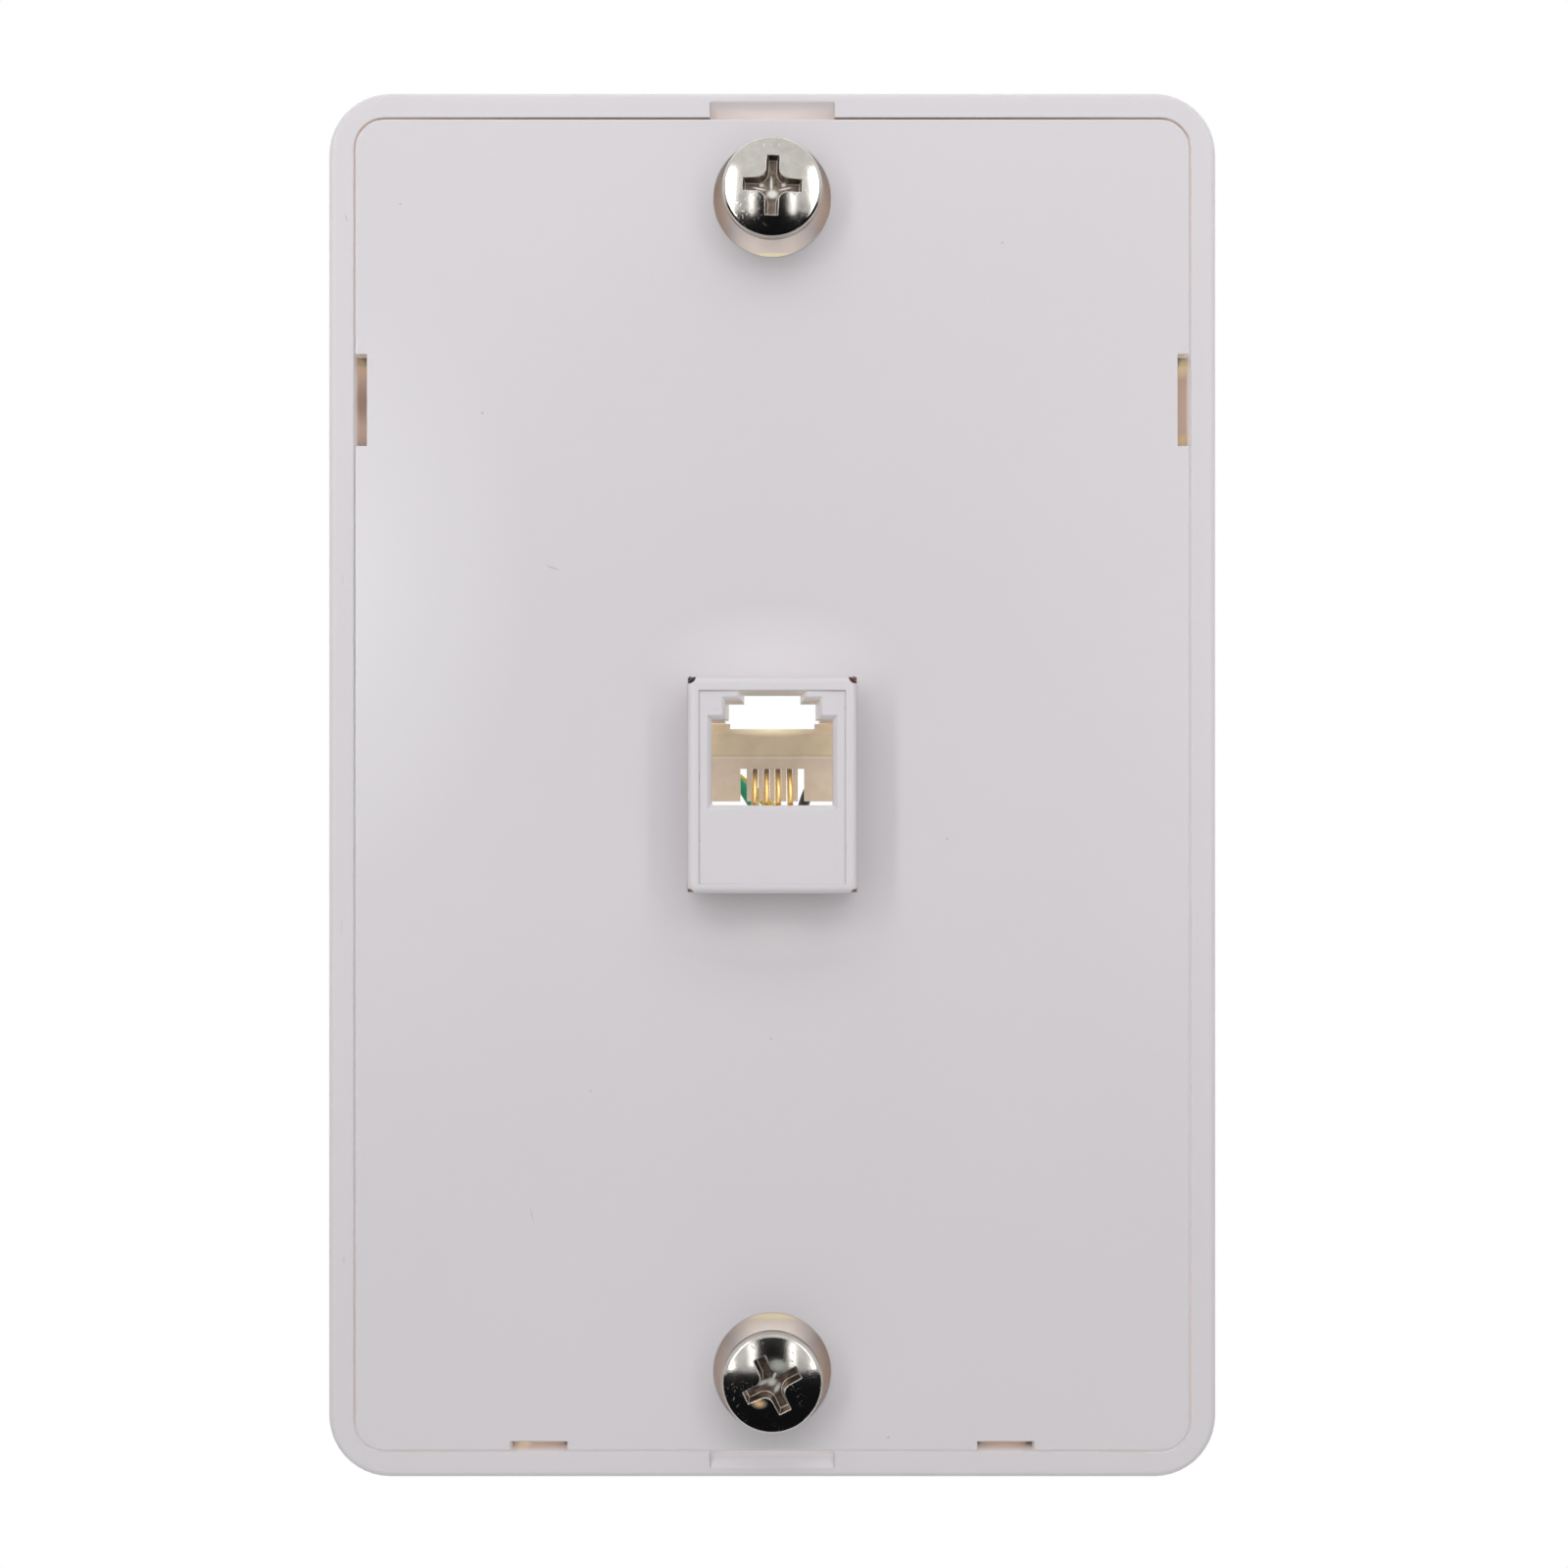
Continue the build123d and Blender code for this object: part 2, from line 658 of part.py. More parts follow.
# Leads: each leaves the carrier's back, passes through the floor and ends in its lug.
# The points between those two ends are x, y and z as laid by hand.
lead_points = {
    "red": [
        (-2.85, 5.8, -3.6),
        (-4.9, 8.4, -4.2),
        (-8.6, 9.9, -2.2),
        (-9.8, 10.3, 4.0),
        (-5.6, 9.0, 10.2),
        (1.0, 5.6, 15.4),
        (6.1, -4.0, 11.4),
        (9.6, -4.3, 6.0),
    ],
    "green": [
        (-0.95, 5.6, -3.6),
        (-1.65, 7.9, -1.9),
        (-3.6, 8.7, 1.1),
        (-9.4, 6.6, 2.2),
        (-12.9, 1.2, 3.9),
        (-15.1, -4.3, 2.74),
    ],
    "yellow": [
        (0.95, 5.8, -3.6),
        (0.1, 9.0, -2.1),
        (-3.4, 9.8, 0.8),
        (-8.2, 8.2, 4.4),
        (-10.4, 2.6, 5.6),
        (-10.2, -3.4, 1.6),
        (-10.4, -4.3, -5.0),
        (-8.0, -4.3, -11.4),
        (-1.6, -4.3, -13.6),
        (8.9, -4.3, -12.51),
    ],
    "black": [
        (2.85, 5.9, -3.6),
        (2.75, 8.6, -1.9),
        (5.0, 9.8, 3.0),
        (6.2, 8.6, 8.8),
        (2.4, 4.2, 12.4),
        (-2.6, -1.2, 13.0),
        (-6.1, -4.2, 11.2),
        (-9.6, -4.3, 6.0),
    ],
}


def corner_radii(points):
    """Largest tangent arcs that share each run evenly, one for each inner point."""
    radii = []
    for before, here, after in zip(points, points[1:], points[2:]):
        run_in = Vector(*here) - Vector(*before)
        run_out = Vector(*after) - Vector(*here)
        half_turn = radians(run_in.get_angle(run_out) / 2)
        radii.append(lead_share * min(run_in.length, run_out.length) / tan(half_turn))
    return radii


for place, name in enumerate(tail_order):
    tail_x = (place - (contact_count - 1) / 2) * tail_pitch
    route = [(tail_x, -carrier_rear_level, contact_run_z)]
    route += lead_points[name]
    route.append(tuple(lead_end(name)))
    radii = corner_radii(route)
    with BuildPart() as lead:
        with BuildLine() as lead_path:
            FilletPolyline(*route, radius=radii)
        with BuildSketch(Plane(origin=lead_path.line @ 0, z_dir=lead_path.line % 0)):
            Circle(lead_diameter / 2)
        sweep()
    finish(lead, f"lead_{name}")
    lead_length = sum(edge.length for edge in lead_path.edges())
    lead_volume = lead_length * pi * lead_diameter ** 2 / 4
    print(f"lead_{name}: length {lead_length:.1f}, radii", [round(r, 1) for r in radii])
    print(f"lead_{name}: volume {lead.part.volume:.1f}, section times length {lead_volume:.1f}")
    if min(radii) < lead_least_radius:
        print(f"lead_{name}: a bend is tighter than {lead_least_radius}")
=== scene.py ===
from math import cos, pi, radians, sin

import bpy
from bpy.props import FloatProperty, FloatVectorProperty, IntProperty, PointerProperty
from bpy.types import Operator, Panel, PropertyGroup
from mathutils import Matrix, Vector


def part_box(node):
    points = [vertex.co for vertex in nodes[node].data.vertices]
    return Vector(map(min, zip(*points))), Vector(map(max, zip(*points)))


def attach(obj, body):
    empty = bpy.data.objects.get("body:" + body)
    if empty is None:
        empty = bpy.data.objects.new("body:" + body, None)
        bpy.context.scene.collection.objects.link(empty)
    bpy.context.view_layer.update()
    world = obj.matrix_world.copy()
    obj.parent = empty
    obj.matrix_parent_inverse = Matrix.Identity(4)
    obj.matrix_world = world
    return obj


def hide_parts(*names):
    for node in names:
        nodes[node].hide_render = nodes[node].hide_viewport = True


bl_info = {
    "name": "Wall Telephone Socket",
    "version": (1, 0, 0),
    "blender": (4, 5, 0),
    "location": "View3D > Sidebar > Socket",
    "description": "Finishes, studs, spring wires, light and camera for a wall telephone socket",
    "category": "Object",
}

MM = 0.001
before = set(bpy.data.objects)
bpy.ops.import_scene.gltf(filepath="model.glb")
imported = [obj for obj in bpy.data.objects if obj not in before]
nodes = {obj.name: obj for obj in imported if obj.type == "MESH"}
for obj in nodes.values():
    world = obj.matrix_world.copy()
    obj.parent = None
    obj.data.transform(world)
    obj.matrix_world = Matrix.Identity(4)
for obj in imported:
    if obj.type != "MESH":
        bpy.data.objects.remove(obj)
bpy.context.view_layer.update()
panel_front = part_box("cover_panel")[0].y
jack_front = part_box("jack_housing")[0].y


# Settings

class PlasticSettings(PropertyGroup):
    """White mouldings and the cream insert."""
    white: FloatVectorProperty(
        name="White", description="Colour of the cover panel, frame and jack",
        default=(0.655, 0.628, 0.652), subtype="COLOR", min=0.0, max=1.0)
    # Painted warm shade deep in gaps and holes, and how far out of a gap it reaches
    painted_gap_shade: FloatVectorProperty(
        name="Crease", description="Warm tone of the white plastic deep in gaps and holes",
        default=(0.70, 0.59, 0.51), subtype="COLOR", min=0.0, max=1.0)
    painted_gap_reach: FloatProperty(
        name="Crease reach", description="How far out of a gap the warm tone reaches",
        default=3.0 * MM, unit="LENGTH")
    # Painted glow in gaps, standing in for light let through the plastic: its tone and its
    # strength
    painted_gap_glow: FloatVectorProperty(
        name="Passed light", description="Tone of the light let through by the plastic into gaps",
        default=(1.0, 0.78, 0.65), subtype="COLOR", min=0.0, max=1.0)
    painted_gap_glow_strength: FloatProperty(
        name="Passed strength", description="Strength of the light let through into gaps",
        default=0.15)
    cream: FloatVectorProperty(
        name="Cream", description="Colour of the comb and the wire carrier",
        default=(0.74, 0.67, 0.57), subtype="COLOR", min=0.0, max=1.0)
    # Tones of the painted glow of the comb and of the wall above it, standing in for light that
    # passes them
    comb_painted_glow: FloatVectorProperty(
        name="Comb light", description="Tone of the light that passes the comb",
        default=(1.0, 0.86, 0.70), subtype="COLOR", min=0.0, max=1.0)
    backer_painted_glow: FloatVectorProperty(
        name="Backer light", description="Tone of the light that passes the wall above the comb",
        default=(1.0, 0.86, 0.56), subtype="COLOR", min=0.0, max=1.0)
    ledge: FloatProperty(
        name="Ledge", description="Height of the ledge between the comb and the wall above it",
        default=2.45 * MM, unit="LENGTH")
    wall_top: FloatProperty(
        name="Wall top", description="Height of the top edge of the wall above the comb",
        default=4.95 * MM, unit="LENGTH")
    gloss: FloatProperty(
        name="Gloss roughness", description="Roughness of the cover panel",
        default=0.24, min=0.0, max=1.0)
    satin: FloatProperty(
        name="Satin roughness", description="Roughness of the frame and jack",
        default=0.34, min=0.0, max=1.0)
    edge: FloatProperty(
        name="Edge softness", description="Radius that softens moulded edges",
        default=0.2 * MM, unit="LENGTH")
    mark: FloatVectorProperty(
        name="Mark", description="Colour of scuffs and specks",
        default=(0.30, 0.25, 0.21), subtype="COLOR", min=0.0, max=1.0)


class MetalSettings(PropertyGroup):
    """Studs, wires and terminal hardware."""
    nickel: FloatVectorProperty(
        name="Nickel", description="Colour of the studs",
        default=(0.70, 0.67, 0.62), subtype="COLOR", min=0.0, max=1.0)
    recess: FloatVectorProperty(
        name="Recess", description="Colour inside the studs' cross recess",
        default=(0.22, 0.16, 0.12), subtype="COLOR", min=0.0, max=1.0)
    recess_light: FloatVectorProperty(
        name="Recess light", description="Colour of the brighter patches in the recess",
        default=(0.50, 0.41, 0.34), subtype="COLOR", min=0.0, max=1.0)
    recess_depth: FloatProperty(
        name="Recess depth", description="Depth of the studs' cross recess",
        default=1.4 * MM, unit="LENGTH")
    # Colour of the painted highlights along the studs' edges and of the painted glints in their
    # recess
    painted_highlight: FloatVectorProperty(
        name="Edge shine", description="Colour of the studs' rubbed edges",
        default=(0.95, 0.94, 0.92), subtype="COLOR", min=0.0, max=1.0)
    crown_radius: FloatProperty(
        name="Crown radius", description="Radius of the studs' domed heads",
        default=12.28 * MM, unit="LENGTH")
    gold: FloatVectorProperty(
        name="Gold", description="Colour of the spring wires",
        default=(0.92, 0.62, 0.20), subtype="COLOR", min=0.0, max=1.0)
    # Painted shade on the wires where they enter the comb
    gold_painted_shade: FloatVectorProperty(
        name="Shaded gold", description="Colour of the wires where they enter the comb",
        default=(0.34, 0.19, 0.06), subtype="COLOR", min=0.0, max=1.0)
    # Colour of the painted streaks of light along the wires
    gold_painted_streak: FloatVectorProperty(
        name="Gold streak", description="Colour of the streaks of light along the wires",
        default=(1.0, 0.80, 0.32), subtype="COLOR", min=0.0, max=1.0)
    wire_radius: FloatProperty(
        name="Wire radius", description="Radius of the spring wires",
        default=0.25 * MM, unit="LENGTH")
    wire_bend: FloatProperty(
        name="Wire bend", description="Radius of the bends in the spring wires",
        default=0.77 * MM, unit="LENGTH")
    brass: FloatVectorProperty(
        name="Brass", description="Colour of the terminal screws",
        default=(0.71, 0.50, 0.22), subtype="COLOR", min=0.0, max=1.0)
    zinc: FloatVectorProperty(
        name="Zinc", description="Colour of the nuts and washers",
        default=(0.55, 0.56, 0.57), subtype="COLOR", min=0.0, max=1.0)
    tin: FloatVectorProperty(
        name="Tin", description="Colour of the spade lugs",
        default=(0.62, 0.61, 0.59), subtype="COLOR", min=0.0, max=1.0)


class SheathSettings(PropertyGroup):
    """Sheaths of the four leads."""
    black: FloatVectorProperty(
        name="Black", description="Colour of the black lead",
        default=(0.010, 0.010, 0.007), subtype="COLOR", min=0.0, max=1.0)
    red: FloatVectorProperty(
        name="Red", description="Colour of the red lead",
        default=(0.42, 0.018, 0.015), subtype="COLOR", min=0.0, max=1.0)
    green: FloatVectorProperty(
        name="Green", description="Colour of the green lead",
        default=(0.030, 0.50, 0.28), subtype="COLOR", min=0.0, max=1.0)
    yellow: FloatVectorProperty(
        name="Yellow", description="Colour of the yellow lead",
        default=(0.90, 0.66, 0.03), subtype="COLOR", min=0.0, max=1.0)


class StageSettings(PropertyGroup):
    """Camera and studio."""
    image_width: IntProperty(
        name="Image width", description="Width of the picture in pixels", default=1600)
    centre_x: FloatProperty(
        name="Centre across", description="Pixel column of the object's centre", default=788.0)
    centre_y: FloatProperty(
        name="Centre down", description="Pixel row of the object's centre", default=801.0)
    scale: FloatProperty(
        name="Scale", description="Pixels for each millimetre at the cover panel's front",
        default=11.974)
    distance: FloatProperty(
        name="Distance", description="From the camera to the cover panel's front",
        default=200.0 * MM, unit="LENGTH")
    side_angle: FloatProperty(
        name="Side angle", description="Angle of the strip lamps from straight ahead",
        default=radians(34.0), subtype="ANGLE")
    left_power: FloatProperty(
        name="Left power", description="Power of the left strip lamp in watts", default=0.51)
    right_power: FloatProperty(
        name="Right power", description="Power of the right strip lamp in watts", default=0.33)
    inner_angle: FloatProperty(
        name="Inner angle", description="Angle of the two faint inner strips from straight ahead",
        default=radians(16.5), subtype="ANGLE")
    inner_power: FloatProperty(
        name="Inner power", description="Power of each inner strip in watts", default=0.035)
    top_power: FloatProperty(
        name="Top power", description="Power of the overhead lamp in watts", default=1.40)
    ambient: FloatProperty(
        name="Ambient", description="Strength of the light from all around", default=0.30)
    behind: FloatProperty(
        name="Behind", description="Strength of the light from behind the plate", default=1.15)


class SocketSettings(PropertyGroup):
    """All settings of the socket."""
    plastic: PointerProperty(type=PlasticSettings)
    metal: PointerProperty(type=MetalSettings)
    sheath: PointerProperty(type=SheathSettings)
    stage: PointerProperty(type=StageSettings)


def settings():
    return bpy.context.scene.socket_settings


# Node helpers

# The Mix node repeats its sockets' names, so they go by number: numbers first, then colours
MIX_AMOUNT = 0
MIX_NUMBERS, MIX_NUMBER_OUT = (2, 3), 0
MIX_COLOURS, MIX_COLOUR_OUT = (6, 7), 2
# Rays for each point in the nodes that look around it
LOOK_SAMPLES = 6
# Values of a noise between which its patches change
WIDE_SPAN, MIDDLE_SPAN, NARROW_SPAN = (0.1, 0.9), (0.3, 0.7), (0.35, 0.65)
WHITE = (1.0, 1.0, 1.0, 1.0)


def in_mm(values):
    """Millimetres as metres."""
    return [value * MM for value in values]


def new_material(name):
    """New node material, with its tree and its surface shader."""
    material = bpy.data.materials.new(name)
    material.use_nodes = True
    return material, material.node_tree, material.node_tree.nodes["Principled BSDF"]


def add(tree, kind, links=(), **values):
    """One node. values are its attributes, and links pair inputs with sockets or values."""
    made = tree.nodes.new(kind)
    for key, value in values.items():
        setattr(made, key, value)
    for key, source in links:
        if isinstance(source, bpy.types.NodeSocket):
            tree.links.new(source, made.inputs[key])
        else:
            made.inputs[key].default_value = source
    return made


def feed(tree, shader, sources):
    """Link a shader's inputs, by name, to the sockets that feed them."""
    for name, source in sources.items():
        tree.links.new(source, shader.inputs[name])


def rgba(colour):
    return (*colour[:3], 1.0)


def place_vector(tree, centre=(0, 0, 0), turn=(0, 0, 0), size=(1, 1, 1)):
    """Object coordinates seen from a centre, turned and divided by a size."""
    coordinates = add(tree, "ShaderNodeTexCoord")
    mapping = add(
        tree, "ShaderNodeMapping",
        [("Vector", coordinates.outputs["Object"]), ("Location", centre),
         ("Rotation", turn), ("Scale", size)],
        vector_type="TEXTURE")
    return mapping.outputs["Vector"]


def separate(tree, vector):
    """The three parts of a vector, by name."""
    return add(tree, "ShaderNodeSeparateXYZ", [("Vector", vector)]).outputs


def noise(tree, vector, feature, detail=2.0, roughness=0.5):
    """Noise whose features are about this long."""
    made = add(
        tree, "ShaderNodeTexNoise",
        [("Vector", vector), ("Scale", 1.0 / feature),
         ("Detail", detail), ("Roughness", roughness)])
    return made.outputs["Fac"]


def spread(tree, value, low, high, to_low=0.0, to_high=1.0):
    """Value mapped from one range to another, clamped."""
    made = add(
        tree, "ShaderNodeMapRange",
        [("Value", value), ("From Min", low), ("From Max", high),
         ("To Min", to_low), ("To Max", to_high)])
    return made.outputs["Result"]


def scaled(tree, mask, at_none, at_full):
    """A value that goes from one number to another as a mask goes from 0 to 1."""
    return spread(tree, mask, 0.0, 1.0, at_none, at_full)


def arithmetic(tree, operation, first, second):
    made = add(tree, "ShaderNodeMath", [(0, first), (1, second)], operation=operation)
    return made.outputs["Value"]


def product(tree, first, second):
    return arithmetic(tree, "MULTIPLY", first, second)


def larger(tree, first, second):
    return arithmetic(tree, "MAXIMUM", first, second)


def total(tree, first, second):
    return arithmetic(tree, "ADD", first, second)


def blend_number(tree, amount, first, second):
    """The first number where the amount is 0, the second where it is 1."""
    made = add(tree, "ShaderNodeMix", [(MIX_AMOUNT, amount), *zip(MIX_NUMBERS, (first, second))])
    return made.outputs[MIX_NUMBER_OUT]


def blend_colour(tree, amount, first, second):
    """The first colour where the amount is 0, the second where it is 1."""
    colours = [
        source if isinstance(source, bpy.types.NodeSocket) else rgba(source)
        for source in (first, second)
    ]
    made = add(
        tree, "ShaderNodeMix", [(MIX_AMOUNT, amount), *zip(MIX_COLOURS, colours)],
        data_type="RGBA")
    return made.outputs[MIX_COLOUR_OUT]


def patchy(tree, cloud, span, colour, dull):
    """A colour that goes duller where a noise is low."""
    darker = [channel * dull for channel in colour]
    return blend_colour(tree, spread(tree, cloud, *span), darker, colour)


def bump(tree, height, distance, normal=None):
    """Normal of a surface that a height of 1 raises by a distance."""
    links = [("Height", height), ("Distance", distance)]
    if normal is not None:
        links.append(("Normal", normal))
    return add(tree, "ShaderNodeBump", links).outputs["Normal"]


def softened(tree, radius):
    """Normal that makes edges look rounded to a radius."""
    made = add(tree, "ShaderNodeBevel", [("Radius", radius)], samples=LOOK_SAMPLES)
    return made.outputs["Normal"]


def spot_mask(tree, centre, half_sizes, turn=0.0, core=0.4):
    """1 inside an ellipsoid's core, fading out towards its surface. turn is in degrees."""
    vector = place_vector(tree, centre, (0, radians(turn), 0), half_sizes)
    length = add(tree, "ShaderNodeVectorMath", [(0, vector)], operation="LENGTH")
    return spread(tree, length.outputs["Value"], 1.0, core)


def assign(material, *names):
    """Put a material on CAD nodes."""
    for name in names:
        mesh = nodes[name].data
        mesh.materials.clear()
        mesh.materials.append(material)


# White plastic

# Slow clouds of tone, patches of roughness, waves and grain of the moulded surface
CLOUD_SIZE, CLOUD_DULL = 30 * MM, 0.965
HAZE_SIZE, HAZE_ROUGHNESS = 12 * MM, 0.02
WAVE_SIZE = 22 * MM
GRAIN_SIZE, GRAIN_DEPTH = 0.35 * MM, 0.0008 * MM
PLASTIC_IOR = 1.5
# Depth of the slow waves on the frame, the cover panel and the jack
FRAME_WAVE, PANEL_WAVE, JACK_WAVE = 0.010 * MM, 0.030 * MM, 0.004 * MM
# Share of open surroundings where a gap starts, and where it is deepest
OPEN_SHARE, CLOSED_SHARE = 0.50, 0.08
# The same where a face starts to lie below its neighbours, and lies fully below them
LEVEL_SHARE, SUNK_SHARE = 0.92, 0.65
# The jack gets a stronger painted glow, standing in for light through its thinner walls, over
# more of their depth
JACK_OPEN_SHARE, JACK_PAINTED_GLOW = 0.72, 1.9
# The jack's flat front stays plain down to this depth, and the painted warm shade and glow fade
# in below it
JACK_PLAIN, PLAIN_FADE = 0.2 * MM, 0.4 * MM
# Half of a mark's reach into the surface, in mm
MARK_HALF_DEPTH = 1

# Colours of painted shade and painted glow in gaps and at the jack's corners
JOINT_PAINTED_SHADE_AND_GLOW = (0.60, 0.585, 0.60)
HOLE_RIM_PAINTED_GLOW = (0.82, 0.74, 0.68)
CREAM_PAINTED_GLOW = (0.84, 0.74, 0.48)
BLACK_LEAD_PAINTED_SHADE = (0.006, 0.006, 0.007)
RED_LEAD_PAINTED_SHADE = (0.060, 0.004, 0.006)
# Painted shade and glow below the open faces: middle and half sizes in mm, colour, strength of
# the painted glow
PAINTED_GAP_SPOTS = [
    # Painted shade and glow in the joints at the sides and the bottom, and their two corners
    ((35.66, -7.2, 0), (0.6, 1.9, 90), JOINT_PAINTED_SHADE_AND_GLOW, 0.36),
    ((-35.66, -7.2, 0), (0.6, 1.9, 90), JOINT_PAINTED_SHADE_AND_GLOW, 0.28),
    ((0, -7.2, -56.86), (60, 1.9, 0.6), JOINT_PAINTED_SHADE_AND_GLOW, 0.31),
    ((-34.4, -7.4, -55.6), (2.8, 1.8, 2.8), JOINT_PAINTED_SHADE_AND_GLOW, 0.30),
    ((34.4, -7.4, -55.6), (2.8, 1.8, 2.8), JOINT_PAINTED_SHADE_AND_GLOW, 0.30),
    # Painted shade and glow on the sides of the two stud holes
    ((-4.9, -6.3, 49.6), (2.0, 1.4, 4.2), (0.62, 0.48, 0.40), 0.06),
    ((4.9, -6.3, 49.6), (2.0, 1.4, 4.2), (0.64, 0.50, 0.42), 0.08),
    ((-4.9, -6.3, -49.6), (2.0, 1.4, 4.2), (0.66, 0.55, 0.50), 0.08),
    ((4.9, -6.3, -49.6), (2.0, 1.4, 4.2), (0.61, 0.48, 0.41), 0.06),
    # Painted glow and shade in the window at the left, the window at the bottom left and the
    # bottom notch
    ((-35.6, -3.7, 36.2), (1.1, 3.6, 1.3), (0.78, 0.62, 0.44), 0.26),
    ((-35.6, -4.2, 33.0), (1.0, 3.0, 2.2), (0.50, 0.40, 0.35), 0.12),
    ((-21.6, -5.2, -56.9), (1.0, 2.5, 1.2), (0.84, 0.74, 0.60), 0.27),
    ((0, -7.2, -58.5), (7.5, 2.0, 1.2), (0.80, 0.77, 0.80), 0.10),
    # Painted light on the top of the jack's latch opening
    ((0, -12.8, 7.4), (5.4, 2.2, 1.4), (0.80, 0.77, 0.73), 0.13),
    # Painted glow at the ends of the two stud holes that face the jack
    ((0, -6.2, 46.2), (4.4, 2.0, 2.6), HOLE_RIM_PAINTED_GLOW, 0.24),
    ((0, -6.2, -46.4), (4.4, 2.0, 2.6), HOLE_RIM_PAINTED_GLOW, 0.22),
    ((0, -6.2, 45.42), (2.6, 1.0, 0.42), CREAM_PAINTED_GLOW, 0.46),
    ((0, -6.2, -45.50), (3.9, 1.0, 0.60), CREAM_PAINTED_GLOW, 0.36),
    # Painted glow in the window at the right
    ((35.6, -3.7, 36.2), (1.1, 3.6, 1.3), CREAM_PAINTED_GLOW, 0.34),
    ((35.6, -4.4, 29.6), (1.1, 2.9, 0.9), CREAM_PAINTED_GLOW, 0.16),
    # Painted shade and glow in the joint along the top, and painted light in the top notch
    ((2.0, -7.9, 56.86), (46.0, 1.0, 0.17), (0.36, 0.27, 0.22), 0.05),
    ((0, -7.2, 57.8), (7.5, 2.0, 1.6), (0.76, 0.70, 0.69), 0.12),
    # Painted shade in the gaps at the jack's four corners, black and dark red for the black and
    # the red lead behind the upper two
    ((-7.1, -4.6, 9.2), (0.85, 2.8, 0.85), BLACK_LEAD_PAINTED_SHADE, 0.0),
    ((7.1, -4.6, 9.2), (0.85, 2.8, 0.85), RED_LEAD_PAINTED_SHADE, 0.0),
    ((-7.1, -4.6, -9.2), (0.7, 2.8, 0.7), (0.16, 0.08, 0.04), 0.0),
    ((7.1, -4.6, -9.2), (0.7, 2.8, 0.7), (0.12, 0.06, 0.03), 0.0),
]
# Painted shade and light on open faces: middle and half sizes in mm, colour, share of the size
# fully covered
PANEL_PAINTED_SHADE_AND_LIGHT = [
    # Painted shadow below the jack and painted light softening its lower part, painted light at
    # the left, painted light above the jack, painted dark gaps at the jack's upper corners
    ((0, -8.0, -9.0), (7.6, 1.0, 2.2), (0.60, 0.565, 0.57), 0.4),
    ((0, -8.0, -12.2), (9.0, 1.0, 3.2), (0.745, 0.715, 0.735), 0.1),
    ((-37.5, -8.0, 17.0), (17.0, 1.0, 27.0), (0.715, 0.692, 0.712), 0.1),
    ((0, -8.0, 10.8), (11.0, 1.0, 4.8), (0.73, 0.70, 0.72), 0.1),
    ((-6.97, -8.0, 9.07), (0.24, 0.5, 0.24), BLACK_LEAD_PAINTED_SHADE, 0.4),
    ((6.97, -8.0, 9.07), (0.24, 0.5, 0.24), RED_LEAD_PAINTED_SHADE, 0.4),
]
JACK_PAINTED_GAP_SHADE = [
    # Painted dark gap shade on the four corners of the jack's front, black and dark red at the
    # upper two
    ((-6.82, -13.1, 8.88), (0.52, 1.0, 0.52), (0.002, 0.002, 0.003), 0.82),
    ((6.82, -13.1, 8.88), (0.52, 1.0, 0.52), (0.055, 0.001, 0.004), 0.82),
    ((-6.84, -13.1, -8.90), (0.34, 0.9, 0.34), (0.20, 0.10, 0.05), 0.6),
    ((6.84, -13.1, -8.90), (0.34, 0.9, 0.34), (0.16, 0.08, 0.04), 0.6),
]


def marked(tree, colour, marks, front):
    """A colour with scuffs and specks on a front face."""
    every_mark = None
    for x, z, half_length, half_width, turn, strength in marks:
        half_sizes = in_mm((half_length, MARK_HALF_DEPTH, half_width))
        mask = spot_mask(tree, (x * MM, front, z * MM), half_sizes, turn)
        mask = product(tree, mask, strength)
        every_mark = mask if every_mark is None else larger(tree, every_mark, mask)
    return blend_colour(tree, every_mark, colour, settings().plastic.mark)


